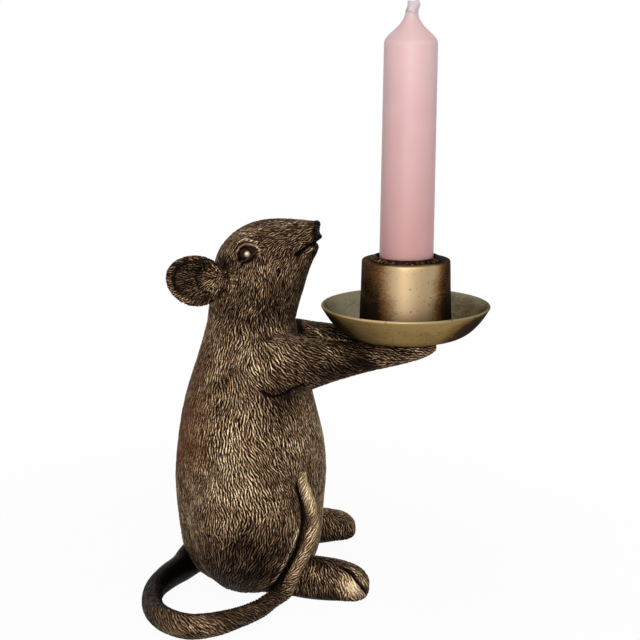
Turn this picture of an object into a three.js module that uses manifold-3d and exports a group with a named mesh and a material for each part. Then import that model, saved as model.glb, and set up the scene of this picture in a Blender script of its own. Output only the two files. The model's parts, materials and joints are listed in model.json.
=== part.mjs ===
// Mouse candle holder. A mouse sits up on its haunches and holds a drip plate with a candle cup.
// The mouse is cast in resin in several pieces, bonded on steel dowels and finished as old bronze.
// Millimetres, +Z up. The mouse faces +X, its left side is +Y, and it stands on Z = 0.
import * as THREE from "three";
import { mergeVertices } from "three/addons/utils/BufferGeometryUtils.js";
import Module from "manifold-3d";

const wasm = await Module();
wasm.setup();

// Clearances
const bondGap = 0.3; // glue line between two cast pieces
const slipGap = 0.35; // round a piece that lifts out
const floorGap = 0.3; // between the resting tail and the table
const wickGap = 0.15; // round the wick in the wax

// Main sizes: the body to its neck joint, how far out the plate is held, and how far the tail loops
const torso = { height: 107, depth: 62.6, width: 68 };
const armLength = 63.3;
const tailLoop = { length: 37.6, width: 71.7 };

// Felt pads under the rump and the feet
const padThickness = 1;
const padInset = 3.5;
const rumpPad = { length: 34, width: 44 };

// Body levels from the seat to the neck joint: height, back, front and half width, as shares of the torso
const neckHeight = torso.height;
const bodyLevels = [
  [padThickness / torso.height, -0.32, 0.336, 0.353],
  [0.056, -0.409, 0.415, 0.456],
  [0.121, -0.46, 0.454, 0.493],
  [0.196, -0.479, 0.47, 0.5],
  [0.28, -0.495, 0.479, 0.497],
  [0.402, -0.505, 0.495, 0.482],
  [0.523, -0.486, 0.482, 0.453],
  [0.645, -0.454, 0.435, 0.412],
  [0.748, -0.409, 0.391, 0.365],
  [0.85, -0.351, 0.347, 0.315],
  [0.935, -0.307, 0.313, 0.276],
  [1, -0.278, 0.294, 0.253],
];
const haunch = {
  x: 0,
  out: torso.width * 0.316,
  z: 29,
  length: torso.depth * 0.783,
  width: torso.width * 0.618,
  height: 63,
};

// How squared off the cross sections are, where 2 is an ellipse
const fullness = 2.15;
const limbFullness = 2.35;

// Head: back point, throat point and half width of each section, x and z from the neck joint
const headSections = [
  [-17.4, 0, 18.4, 0, 17.2],
  [-16.4, 8, 20, 7, 16.6],
  [-15.8, 16, 21.8, 13, 16.8],
  [-15, 22.6, 22.8, 17.6, 16.9],
  [-12.8, 29, 24, 21.5, 16.2],
  [-7.4, 35.4, 25, 24.2, 14.6],
  [0, 39.6, 26, 26.2, 12.4],
  [8.2, 41.3, 26.8, 27.6, 10.4],
  [16, 41.4, 27.4, 30, 8.6],
  [22.4, 41, 27.8, 33, 6.8],
  [26.8, 40.4, 28, 37, 4.4],
];
const headYaw = 10; // degrees, towards its right side
const headRoll = 8; // degrees, right ear up
const ear = { out: 16, radius: 9.2, stretch: 1.28, rim: 1.4, depth: 3.8, sweep: 13 };
const earRoot = { length: 15, height: 13, thickness: 8, sweep: 22, inward: 7.5 };
const rightEar = { x: -19.3, z: 17.3 };
const leftEar = { x: -17.7, z: 13.3 };
const eye = { x: 0.9, out: 12.6, z: 27.6, radius: 3.5 };
const eyelid = { radius: 3.9, thickness: 1.5, out: 13.7 };
const nose = { x: 26.8, z: 40.1, length: 4, width: 5, height: 2.8 };

// Mouth: the lower edge of the upper lip in x and z from the neck joint, cut this wide and deep
const mouthLine = [[30, 32.9], [27.6, 32.6], [25.6, 31.2], [23.2, 29.8], [21.6, 28.6]];
const mouth = { width: 0.9, depth: 0.9 };

// Drip plate, candle cup, insert and candle, all on one axis
const plateAxis = armLength;
const seatDrop = 6.2; // from the neck joint down to the plate's underside on the paws
const plateSeat = neckHeight - seatDrop;
const cup = { topRadius: 17.9, footRadius: 18.8, flare: 0.5, height: 29.6, edge: 0.5 };
const plate = { radius: 34.4, depth: 12.2, wall: 1.8, ledge: 0.3, flare: 2.1 };
const plateFlat = cup.footRadius + cup.flare + plate.ledge;
const insert = { bore: 11.75, wall: 1.1, depth: 14, lipRadius: 14.6, lipRise: 1.7, lipEdge: 0.5 };
const candle = { radius: 11, topRadius: 10.6, length: 101, coneHeight: 10.2, neckRadius: 2.4, lean: 0.5 };
const wick = { radius: 1.2, waxedRadius: 2.2, height: 4.4, set: 6, bend: 0.9 };

// Arms: each runs from the shoulder to a flat-topped paw under the plate
const shoulder = { x: 3, out: 14.6, drop: 3, height: 26.2, width: 21 };
const elbow = { drop: 7.6, rise: 1.4 };
const paw = { out: 11.8, thickness: 7.2, width: 13.4, overhang: 12 };
const fingerGroove = { radius: 0.9, length: 9, spacing: 4.2 };

// Feet, from the heel in the haunch to the toes. The toes point outwards by the splay in degrees
const foot = { width: 16.4, heel: torso.depth * 0.096, splay: 13 };
const rightFoot = { out: torso.width * 0.371, height: 16.2, length: 42.9 };
const leftFoot = { out: torso.width * 0.4, height: 14.6, length: 38.8 };
const toeGroove = { radius: 1.1, length: 11, spacing: 9 };

// Tail root: x and y as shares of the torso's depth and width, then height and radius
const tailRoot = [
  [-0.2875, -0.044, 10, 8.4],
  [-0.3866, -0.138, 8, 6.8],
  [-0.4505, -0.22, 6, 5.6],
  [-0.537, -0.356, 5.3, 5],
];

// Then the tail on the table: x and y as shares of its loop, then height and radius
const tailOnTable = [
  [-0.989, -0.474, 4.6, 4.3],
  [-1, -0.628, 4.2, 3.9],
  [-0.926, -0.792, 4.5, 4.2],
  [-0.771, -0.926, 4.9, 4.6],
  [-0.551, -1, 5, 4.7],
  [-0.314, -0.969, 4.8, 4.5],
  [-0.077, -0.862, 4.2, 3.9],
  [0.122, -0.746, 4, 3.6],
  [0.255, -0.61, 3.7, 3.3],
];

// Then over the right foot: x from its heel, y from its outer side, height and radius
const tailOnFoot = [
  [8.7, -3.1, 4.2, 3],
  [11.4, -3.8, 9.6, 2.8],
  [13.7, -2.2, 14.2, 2.6],
];

// Then up the right haunch: x from its front, y from its outer side, height and radius
const tailOnHaunch = [
  [-2.4, 11.2, 17.6, 2.7],
  [-0.6, 14.7, 21.6, 2.7],
  [0.7, 17, 26.4, 2.7],
  [0.9, 17.1, 30.6, 2.7],
  [0, 17, 36, 2.6],
  [-1.8, 16.9, 42, 2.4],
  [-3, 17, 46.4, 2],
  [-2.7, 17.6, 50.2, 1.2],
];
const scaled = (rows, long, wide) => rows.map(([x, y, z, radius]) => [x * long, y * wide, z, radius]);
const shifted = (rows, front, side) => rows.map(([x, y, z, radius]) => [front + x, side + y, z, radius]);
const tailPath = [
  ...scaled(tailRoot, torso.depth, torso.width),
  ...scaled(tailOnTable, tailLoop.length, tailLoop.width),
  ...shifted(tailOnFoot, foot.heel, -rightFoot.out - foot.width / 2),
  ...shifted(tailOnHaunch, haunch.x + haunch.length / 2, -haunch.out - haunch.width / 2),
];

// Dowels, pins and the screw
const neckDowel = { radius: 4, length: 20, x: 0.6 };
const armDowel = { radius: 2.5, length: 13, x: 8, drop: 15, out: 17 };
const footDowel = { radius: 2.5, length: 18, inset: 9, z: 8.5 };
const tailDowel = { radius: 1.6, length: 13, along: [-5, -6, -1.45] };
const pawPin = { radius: 1.3, length: 16, out: 11, below: 5.5 };
const screw = { radius: 2, length: 10, headRadius: 3.6, headHeight: 2.4 };
const washer = { radius: 4.8, bore: 2.35, thickness: 0.8 };

// Finishes
const bronze = { color: "#4e3c2b", roughness: 0.5, metalness: 0.6 };
const brass = { color: "#8c7446", roughness: 0.42, metalness: 0.8 };
const darkBrass = { color: "#4a3c2c", roughness: 0.5, metalness: 0.7 };
const blackGlass = { color: "#120d0a", roughness: 0.12, metalness: 0 };
const steel = { color: "#8f9294", roughness: 0.35, metalness: 1 };
const felt = { color: "#2c2723", roughness: 1, metalness: 0 };
const pinkWax = { color: "#d8a2a6", roughness: 0.45, metalness: 0 };
const waxedCotton = { color: "#e6c3bd", roughness: 0.7, metalness: 0 };

const radians = THREE.MathUtils.degToRad;
const up = new THREE.Vector3(0, 0, 1);
const across = new THREE.Vector3(0, 1, 0);
const ahead = new THREE.Vector3(1, 0, 0);

// Solids and cuts
function solid(geometry) {
  const bare = geometry.index ? geometry.clone() : geometry;
  bare.deleteAttribute("normal");
  bare.deleteAttribute("uv");
  const merged = mergeVertices(bare, 1e-5);
  const mesh = new wasm.Mesh({
    numProp: 3,
    vertProperties: new Float32Array(merged.attributes.position.array),
    triVerts: new Uint32Array(merged.index.array),
  });
  return new wasm.Manifold(mesh);
}

function geometryOf(manifold) {
  const mesh = manifold.getMesh();
  const geometry = new THREE.BufferGeometry();
  geometry.setAttribute("position", new THREE.BufferAttribute(mesh.vertProperties, 3));
  geometry.setIndex(new THREE.BufferAttribute(mesh.triVerts, 1));
  geometry.computeVertexNormals();
  return geometry;
}

const joined = (first, ...others) => others.reduce((whole, piece) => whole.add(piece), first);
const cutBy = (first, ...others) => others.reduce((whole, piece) => whole.subtract(piece), first);

// A ring of points on the plane of u and v, a and b are its half sizes and power squares it off
function ring(centre, u, v, a, b, sides, power = 2) {
  const round = (value) => Math.sign(value) * Math.abs(value) ** (2 / power);
  return Array.from({ length: sides }, (_, i) => {
    const turn = (2 * Math.PI * i) / sides;
    return centre.clone()
      .addScaledVector(u, a * round(Math.cos(turn)))
      .addScaledVector(v, b * round(Math.sin(turn)));
  });
}

// A closed skin over a row of rings, with a fan at each end
function loft(rings) {
  const sides = rings[0].length;
  const points = rings.flat();
  const middle = (loop) => loop.reduce((sum, p) => sum.add(p), new THREE.Vector3()).divideScalar(sides);
  const first = points.push(middle(rings[0])) - 1;
  const last = points.push(middle(rings[rings.length - 1])) - 1;
  const faces = [];
  for (let i = 0; i < sides; i++) {
    const next = (i + 1) % sides;
    const end = (rings.length - 1) * sides;
    faces.push(first, next, i, last, end + i, end + next);
    for (let row = 0; row < rings.length - 1; row++) {
      const here = row * sides;
      const there = here + sides;
      faces.push(here + i, here + next, there + next, here + i, there + next, there + i);
    }
  }
  const geometry = new THREE.BufferGeometry().setFromPoints(points);
  geometry.setIndex(faces);
  return solidFacingOut(geometry);
}

// The loft's winding follows its frame, so it is turned round when its volume comes out negative
function solidFacingOut(geometry) {
  const position = geometry.attributes.position;
  const [a, b, c] = [new THREE.Vector3(), new THREE.Vector3(), new THREE.Vector3()];
  const index = geometry.index.array;
  let volume = 0;
  for (let i = 0; i < index.length; i += 3) {
    a.fromBufferAttribute(position, index[i]);
    b.fromBufferAttribute(position, index[i + 1]);
    c.fromBufferAttribute(position, index[i + 2]);
    volume += a.dot(b.cross(c));
  }
  if (volume < 0) geometry.setIndex([...index].reverse());
  return geometry;
}

// Rows of numbers drawn out into a smooth run of rows, through every row that was given
function smooth(rows, perSpan) {
  const out = [];
  const last = rows.length - 1;
  for (let i = 0; i < last; i++) {
    const [from, to] = [rows[i], rows[i + 1]];
    const before = rows[Math.max(i - 1, 0)];
    const after = rows[Math.min(i + 2, last)];
    for (let step = 0; step < perSpan; step++) {
      const t = step / perSpan;
      const ease = t * t * (3 - 2 * t);
      out.push(from.map((value, k) => {
        const slopeIn = (to[k] - before[k]) / 2;
        const slopeOut = (after[k] - value) / 2;
        const bow = slopeIn * t * (1 - t) ** 2 - slopeOut * t * t * (1 - t);
        return value * (1 - ease) + to[k] * ease + bow;
      }));
    }
  }
  out.push(rows[last]);
  return out;
}

const at = (x, y, z) => new THREE.Vector3(x, y, z);

function cylinder(radius, length, middle, direction = up, sides = 14) {
  const geometry = new THREE.CylinderGeometry(radius, radius, length, sides);
  const turn = new THREE.Quaternion().setFromUnitVectors(across, direction.clone().normalize());
  geometry.applyQuaternion(turn);
  geometry.translate(middle.x, middle.y, middle.z);
  return solid(geometry);
}

function ellipsoid(middle, radii, around = 22, down = 14) {
  const geometry = new THREE.SphereGeometry(1, around, down);
  geometry.scale(radii.x, radii.y, radii.z);
  geometry.translate(middle.x, middle.y, middle.z);
  return solid(geometry);
}

function slab(low, high) {
  const size = high.clone().sub(low);
  const middle = low.clone().add(high).multiplyScalar(0.5);
  const geometry = new THREE.BoxGeometry(size.x, size.y, size.z);
  geometry.translate(middle.x, middle.y, middle.z);
  return solid(geometry);
}

function turned(profile, sides) {
  const points = profile.map(([radius, height]) => new THREE.Vector2(radius, height));
  const geometry = new THREE.LatheGeometry(points, sides);
  geometry.rotateX(Math.PI / 2);
  return solid(solidFacingOut(mergeVertices(stripped(geometry), 1e-5)));
}

function stripped(geometry) {
  geometry.deleteAttribute("normal");
  geometry.deleteAttribute("uv");
  return geometry;
}

// Everything below the level that a piece stands on
const farAway = 200;
const under = (height) => slab(at(-farAway, -farAway, -farAway), at(farAway, farAway, height));

// Body with its two haunches
function bodyForm(grow = 0) {
  const rings = smooth(bodyLevels, 2).map(([level, back, front, half]) => {
    const middle = at((torso.depth * (back + front)) / 2, 0, torso.height * level);
    const depth = (torso.depth * (front - back)) / 2 + grow;
    return ring(middle, ahead, across, depth, torso.width * half + grow, 30, fullness);
  });
  const sides = [-1, 1].map((side) => ellipsoid(
    at(haunch.x, side * haunch.out, haunch.z),
    at(haunch.length / 2 + grow, haunch.width / 2 + grow, haunch.height / 2 + grow),
  ));
  return cutBy(joined(solid(loft(rings)), ...sides), under(padThickness - grow));
}

// The head is drawn looking straight ahead, then turned and tipped more and more above the neck
function turnHead(point) {
  const rise = THREE.MathUtils.smoothstep(point.z - neckHeight, 0, 20);
  const pivot = at(0, 0, neckHeight);
  return point.clone().sub(pivot)
    .applyAxisAngle(ahead, -radians(headRoll) * rise)
    .applyAxisAngle(up, -radians(headYaw) * rise)
    .add(pivot);
}

function turnHeadGeometry(geometry) {
  const position = geometry.attributes.position;
  const point = new THREE.Vector3();
  for (let i = 0; i < position.count; i++) {
    point.copy(turnHead(point.fromBufferAttribute(position, i)));
    position.setXYZ(i, point.x, point.y, point.z);
  }
  return geometry;
}

function headForm(grow = 0) {
  const rings = smooth(headSections, 2).map(([backX, backZ, frontX, frontZ, half]) => {
    const back = at(backX, 0, neckHeight + bondGap + backZ);
    const front = at(frontX, 0, neckHeight + bondGap + frontZ);
    const length = back.distanceTo(front) / 2;
    const along = front.clone().sub(back).normalize();
    const middle = back.add(front).multiplyScalar(0.5);
    return ring(middle, along, across, length + grow, half + grow, 24, fullness);
  });
  return solid(turnHeadGeometry(loft(rings)));
}

function noseForm() {
  const geometry = stripped(new THREE.SphereGeometry(1, 10, 6));
  geometry.scale(nose.length / 2, nose.width / 2, nose.height / 2);
  geometry.translate(nose.x, 0, neckHeight + nose.z);
  return solid(turnHeadGeometry(geometry));
}

// The mouth is a slit that follows the lip round the snout, as deep as the head's form less a core
function mouthSlit() {
  const upper = mouthLine.map(([x, z]) => new THREE.Vector2(x, z));
  const lower = mouthLine.map(([x, z]) => new THREE.Vector2(x, z - mouth.width)).reverse();
  const halfWide = 12;
  const options = { depth: halfWide * 2, bevelEnabled: false };
  const geometry = stripped(new THREE.ExtrudeGeometry(new THREE.Shape([...upper, ...lower]), options));
  geometry.rotateX(Math.PI / 2);
  geometry.translate(0, halfWide, neckHeight);
  return cutBy(solid(turnHeadGeometry(geometry)), headForm(-mouth.depth));
}

// A lid is a soft ring round the eye, a little longer than it is high
function lidForm(side) {
  const tube = eyelid.thickness / 2;
  const geometry = stripped(new THREE.TorusGeometry(eyelid.radius, tube, 5, 14));
  geometry.scale(1.08, 0.95, 1);
  geometry.rotateX(Math.PI / 2);
  geometry.translate(eye.x, side * eyelid.out, neckHeight + eye.z);
  return solid(turnHeadGeometry(solidFacingOut(mergeVertices(geometry, 1e-4))));
}

// An ear is a shallow dish with a rolled rim and a round root that sits in a socket in the head
function earForm(side, grow = 0) {
  const { x, z } = side < 0 ? rightEar : leftEar;
  const rim = ear.rim + grow;
  const bowl = (radius) => ear.depth * ((radius / ear.radius) ** 2 - 0.5);
  const inner = ear.radius - ear.rim;
  const back = [0, 0.35, 0.7].map((share) => [share * inner, bowl(share * inner) - rim]);
  const edge = [-1, 0, 1, 2, 3].map((step) => {
    const turn = (step * Math.PI) / 5;
    return [inner + rim * Math.cos(turn), bowl(ear.radius) + rim * Math.sin(turn)];
  });
  const front = [0.8, 0.4, 0].map((share) => [share * inner, bowl(share * inner) + grow]);
  const points = [...back, ...edge, ...front].map(([radius, height]) => new THREE.Vector2(radius, height));
  const dish = stripped(new THREE.LatheGeometry(points, 20));
  dish.scale(ear.stretch, 1, 1);
  dish.rotateX(side > 0 ? 0 : Math.PI);
  dish.rotateZ(-side * radians(ear.sweep));
  dish.translate(x, side * ear.out, neckHeight + z);
  const root = stripped(new THREE.SphereGeometry(1, 12, 8));
  root.scale(earRoot.length / 2 + grow, earRoot.thickness / 2 + grow, earRoot.height / 2 + grow);
  root.rotateZ(-side * radians(earRoot.sweep));
  const inward = radians(earRoot.sweep);
  const rootX = x + earRoot.inward * Math.cos(inward);
  root.translate(rootX, side * (ear.out - earRoot.inward * Math.sin(inward)), neckHeight + z);
  const dishSolid = solid(turnHeadGeometry(solidFacingOut(mergeVertices(dish, 1e-4))));
  return dishSolid.add(solid(turnHeadGeometry(root)));
}

function eyeForm(side, grow = 0) {
  const middle = turnHead(at(eye.x, side * eye.out, neckHeight + eye.z));
  return ellipsoid(middle, at(1, 1, 1).multiplyScalar(eye.radius + grow), 12, 8);
}

// Arm: x, bottom, top, distance out and half width of each section
function armForm(side) {
  const pawTop = plateSeat - bondGap;
  const tip = plateAxis + paw.overhang;
  const { x: start, width } = shoulder;
  const top = neckHeight - shoulder.drop;
  const low = top - shoulder.height;
  const half = width / 2;
  const thick = paw.thickness;
  const pawHalf = paw.width / 2;
  const wrist = plateAxis - thick * 0.7;
  const elbowX = (start + wrist) / 2;
  const bend = elbowX - width * 0.33;
  const sections = [
    [start - width * 0.52, low + width * 0.43, top - width * 0.43, shoulder.out - width * 0.1, half * 0.5],
    [start - width * 0.33, low + width * 0.19, top - width * 0.17, shoulder.out, half * 0.82],
    [start + width * 0.1, low, top, shoulder.out + width * 0.05, half],
    [start + width * 0.57, low + width * 0.05, top + width * 0.02, shoulder.out + width * 0.1, half],
    [bend, low + elbow.drop * 0.55, top - width * 0.05, shoulder.out + width * 0.1, half * 0.9],
    [elbowX + width * 0.14, low + elbow.drop, pawTop + elbow.rise, shoulder.out + width * 0.05, half * 0.74],
    [wrist - thick * 1.67, pawTop - thick * 1.64, pawTop, paw.out + thick * 0.22, pawHalf],
    [wrist, pawTop - thick * 1.28, pawTop, paw.out + thick * 0.08, pawHalf],
    [plateAxis + thick * 0.42, pawTop - thick, pawTop, paw.out, pawHalf],
    [tip - thick * 0.47, pawTop - thick * 0.72, pawTop, paw.out - thick * 0.06, pawHalf * 0.88],
    [tip, pawTop - thick * 0.4, pawTop - thick * 0.11, paw.out - thick * 0.08, pawHalf * 0.55],
  ];
  const rings = smooth(sections, 2).map(([x, bottom, top, out, wide]) => {
    const middle = at(x, side * out, (bottom + top) / 2);
    return ring(middle, up, across, (top - bottom) / 2, wide, 16, limbFullness);
  });
  const grooves = [-1, 0, 1].map((step) => {
    const out = side * paw.out + step * fingerGroove.spacing;
    return ellipsoid(
      at(tip + fingerGroove.radius, out, pawTop - paw.thickness * 0.75),
      at(fingerGroove.length / 2, fingerGroove.radius, fingerGroove.length / 2),
      8,
      6,
    );
  });
  return cutBy(solid(loft(rings)), ...grooves);
}

const footOf = (side) => (side < 0 ? rightFoot : leftFoot);

// A foot is drawn straight ahead of its heel, then turned about the heel by its splay
function turnFoot(side, geometry) {
  const angle = side * radians(foot.splay);
  return geometry.rotateZ(angle).translate(foot.heel, side * footOf(side).out, 0);
}

// Foot: distance from the heel, underside, top and half width of each section
function footForm(side, grow = 0) {
  const { height, length } = footOf(side);
  const half = foot.width / 2;
  const sections = [
    [0, 0, height * 0.7, half * 0.7],
    [foot.width * 0.55, 0, height * 0.96, half * 0.92],
    [foot.width * 1.16, 0, height, half * 0.96],
    [length - foot.width * 0.79, 0, height * 0.95, half],
    [length - foot.width * 0.43, height * 0.01, height * 0.86, half],
    [length - foot.width * 0.18, height * 0.06, height * 0.74, half * 0.86],
    [length - foot.width * 0.05, height * 0.15, height * 0.6, half * 0.6],
    [length, height * 0.24, height * 0.5, half * 0.36],
  ];
  const rings = smooth(sections, 2).map(([x, bottom, top, wide]) => {
    const low = bottom - top * 0.12;
    const middle = at(x, 0, (top + low) / 2);
    return ring(middle, up, across, (top - low) / 2 + grow, wide + grow, 18, limbFullness);
  });
  return cutBy(solid(turnFoot(side, loft(rings))), under(padThickness - grow));
}

// Grooves between the three toes, over the top and down the front
function toeGrooves(side) {
  const { height, length } = footOf(side);
  return [-0.5, 0.5].map((step) => {
    const groove = stripped(new THREE.SphereGeometry(1, 8, 6));
    groove.scale(toeGroove.length / 2, toeGroove.radius, toeGroove.length / 2);
    groove.translate(length + toeGroove.radius, step * toeGroove.spacing, height * 0.62);
    return solid(turnFoot(side, groove));
  });
}

// Tail: a tapered tube along its centre line, clear of the table
function tailForm(grow = 0) {
  const rows = smooth(tailPath, 2);
  const lifted = rows.map(([x, y, z, radius]) => at(x, y, Math.max(z, radius + floorGap)));
  const curve = new THREE.CatmullRomCurve3(lifted);
  const steps = rows.length - 1;
  const frames = curve.computeFrenetFrames(steps);
  const rings = rows.map((row, i) => {
    const centre = curve.getPoint(i / steps);
    return ring(centre, frames.normals[i], frames.binormals[i], row[3] + grow, row[3] + grow, 10);
  });
  return solid(loft(rings));
}

const axisPoint = (z) => at(plateAxis, 0, z);

// Drip plate: a flat middle and a flared wall of one thickness
function plateForm() {
  const run = plate.radius - plateFlat;
  const outside = [];
  const inside = [];
  const steps = 5;
  for (let i = 0; i <= steps; i++) {
    const t = i / steps;
    const height = plate.depth * t ** plate.flare;
    const slope = Math.atan2(plate.flare * plate.depth * t ** (plate.flare - 1), run);
    const radius = plateFlat + run * t;
    const wall = plate.wall * (1 - 0.35 * t);
    outside.push([radius, height]);
    inside.unshift([radius - wall * Math.sin(slope), height + wall * Math.cos(slope)]);
  }
  return turned([[0, 0], ...outside, ...inside, [0, plate.wall]], 40).translate(plateAxis, 0, plateSeat);
}

function cupForm() {
  const wellRadius = insert.bore + insert.wall + slipGap;
  const wellDepth = insert.depth + insert.wall + slipGap;
  const profile = [
    [0, 0],
    [cup.footRadius + cup.flare, 0],
    [cup.footRadius + cup.flare * 0.4, 1],
    [cup.footRadius, 2.4],
    [cup.topRadius, cup.height - cup.edge],
    [cup.topRadius - cup.edge, cup.height],
    [wellRadius, cup.height],
    [wellRadius, cup.height - wellDepth],
    [0, cup.height - wellDepth],
  ];
  return turned(profile, 36).translate(plateAxis, 0, plateSeat + plate.wall);
}

const cupRim = plateSeat + plate.wall + cup.height;

// Insert: a thin cup whose sloping lip hangs on the candle cup's rim
function insertForm() {
  const outside = insert.bore + insert.wall;
  const floor = slipGap - insert.depth;
  const profile = [
    [0, floor - insert.wall],
    [outside, floor - insert.wall],
    [outside, 0],
    [insert.lipRadius, 0],
    [insert.lipRadius, insert.lipEdge],
    [outside, insert.lipRise],
    [insert.bore, insert.lipRise - 0.3],
    [insert.bore, floor],
    [0, floor],
  ];
  return turned(profile, 36).translate(plateAxis, 0, cupRim);
}

const candleFoot = cupRim - insert.depth + slipGap * 2;

// Wick: a thin cord set in the candle, with a blob of wax round the part that stands out
function wickForm(grow = 0) {
  const neck = candle.length + candle.coneHeight + bondGap;
  const rows = [
    [0, neck - wick.set - grow, wick.radius],
    [0, neck, wick.radius],
    [0, neck + 0.3, wick.waxedRadius],
    [wick.bend * 0.3, neck + wick.height * 0.5, wick.waxedRadius],
    [wick.bend, neck + wick.height - 0.4, wick.waxedRadius * 0.95],
    [wick.bend, neck + wick.height, wick.waxedRadius * 0.7],
  ];
  return solid(loft(rows.map(([x, z, radius]) => {
    return ring(at(x, 0, z), ahead, across, radius + grow, radius + grow, 12);
  })));
}

function candleForm() {
  const top = candle.length + candle.coneHeight;
  const shoulderTop = candle.length + 1.2;
  const profile = [
    [0, 0],
    [candle.radius - 0.6, 0],
    [candle.radius, 0.6],
    [candle.topRadius, candle.length - 1],
    [candle.topRadius - 1, shoulderTop],
    [candle.topRadius * 0.64, shoulderTop + 1.9],
    [candle.topRadius * 0.4, shoulderTop + 4.2],
    [candle.neckRadius * 1.15, top - 2],
    [candle.neckRadius, top],
    [0, top],
  ];
  return cutBy(turned(profile, 32), wickForm(wickGap));
}

// Dowels and pins, each with a hole that is one glue line larger
function pin({ radius, length }, middle, direction, grow) {
  return cylinder(radius + grow, length + 2 * grow, middle, direction);
}

const neckPin = (grow = 0) => pin(neckDowel, at(neckDowel.x, 0, neckHeight), up, grow);

function armPin(side, grow = 0) {
  return pin(armDowel, at(armDowel.x, side * armDowel.out, neckHeight - armDowel.drop), across, grow);
}

function footPin(side, grow = 0) {
  const direction = ahead.clone().applyAxisAngle(up, side * radians(foot.splay));
  const heel = at(foot.heel, side * footOf(side).out, footDowel.z);
  return pin(footDowel, heel.addScaledVector(direction, footDowel.inset), direction, grow);
}

function tailPin(grow = 0) {
  const [x, y, z] = tailPath[1];
  return pin(tailDowel, at(x, y, z), at(...tailDowel.along), grow);
}

function pawPinForm(side, grow = 0) {
  const middle = at(plateAxis, side * pawPin.out, plateSeat - pawPin.below + pawPin.length / 2);
  return pin(pawPin, middle, up, grow);
}

const screwSeat = plateSeat - washer.thickness;

function screwShank(grow = 0) {
  const length = screw.length + washer.thickness + grow;
  return cylinder(screw.radius + grow, length, axisPoint(screwSeat + length / 2));
}

function screwForm() {
  const head = cylinder(screw.headRadius, screw.headHeight, axisPoint(screwSeat - screw.headHeight / 2));
  return head.add(screwShank());
}

function washerForm() {
  const middle = axisPoint(plateSeat - washer.thickness / 2);
  const disc = cylinder(washer.radius, washer.thickness, middle);
  return cutBy(disc, cylinder(washer.bore, washer.thickness + 2, middle));
}

// Felt pads
function padForm(shape, put) {
  const options = { depth: padThickness, bevelEnabled: false, curveSegments: 16 };
  return solid(put(new THREE.ExtrudeGeometry(shape, options)));
}

function footPad(side) {
  const start = foot.width * 0.55;
  const end = footOf(side).length - padInset * 1.6;
  const shape = new THREE.Shape();
  shape.absellipse((start + end) / 2, 0, (end - start) / 2, foot.width / 2 - padInset, 0, Math.PI * 2);
  return padForm(shape, (geometry) => turnFoot(side, geometry));
}

function rumpPadForm() {
  const shape = new THREE.Shape();
  shape.absellipse(0, 0, rumpPad.length / 2, rumpPad.width / 2, 0, Math.PI * 2);
  return padForm(shape, (geometry) => geometry);
}

// Assembly
const holder = new THREE.Group();

function place(name, manifold, finish, group = holder) {
  const mesh = new THREE.Mesh(geometryOf(manifold), new THREE.MeshStandardMaterial(finish));
  mesh.name = name;
  group.add(mesh);
}

const sides = { right: -1, left: 1 };
const body = bodyForm();
const bodySpace = bodyForm(bondGap);
const head = headForm();
const headSpace = headForm(bondGap);
const bothSides = Object.values(sides);

place("body", cutBy(
  body,
  neckPin(bondGap),
  tailPin(bondGap),
  ...bothSides.map((side) => armPin(side, bondGap)),
  ...bothSides.map((side) => footPin(side, bondGap)),
), bronze);
place("head", cutBy(
  joined(head, noseForm(), ...bothSides.map(lidForm)),
  mouthSlit(),
  neckPin(bondGap),
  ...bothSides.map((side) => earForm(side, bondGap)),
  ...bothSides.map((side) => eyeForm(side, bondGap)),
), bronze);
place("neck_dowel", neckPin(), steel);

for (const [name, side] of Object.entries(sides)) {
  place(`${name}_ear`, earForm(side), bronze);
  place(`${name}_eye`, eyeForm(side), blackGlass);
  const arm = cutBy(armForm(side), bodySpace, headSpace, armPin(side, bondGap), pawPinForm(side, bondGap));
  place(`${name}_arm`, arm, bronze);
  place(`${name}_arm_dowel`, armPin(side), steel);
  const castFoot = cutBy(footForm(side), bodySpace, footPin(side, bondGap), ...toeGrooves(side));
  place(`${name}_foot`, castFoot, bronze);
  place(`${name}_foot_dowel`, footPin(side), steel);
  place(`${name}_foot_pad`, footPad(side), felt);
  place(`${name}_paw_pin`, pawPinForm(side), steel);
}
place("rump_pad", rumpPadForm(), felt);
place("tail", cutBy(tailForm(), bodySpace, footForm(sides.right, bondGap), tailPin(bondGap)), bronze);
place("tail_dowel", tailPin(), steel);

const pinHoles = bothSides.map((side) => pawPinForm(side, bondGap));
place("drip_plate", cutBy(plateForm(), screwShank(bondGap), ...pinHoles), brass);
place("candle_cup", cutBy(cupForm(), screwShank(bondGap), ...pinHoles), brass);
place("cup_screw", screwForm(), steel);
place("cup_washer", washerForm(), steel);
place("candle_insert", insertForm(), darkBrass);

// The candle stands loose in the insert and leans a little
const candleGroup = new THREE.Group();
candleGroup.position.set(plateAxis, 0, candleFoot);
candleGroup.rotation.y = radians(candle.lean);
place("candle", candleForm(), pinkWax, candleGroup);
place("wick", wickForm(), waxedCotton, candleGroup);
holder.add(candleGroup);

export default holder;
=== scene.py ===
"""A bronzed mouse with a brass drip plate, a cup and a candle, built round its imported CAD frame."""

import itertools
import json
import math

import bmesh
import bpy
import numpy as np
from mathutils import Matrix, Vector, noise


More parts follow.
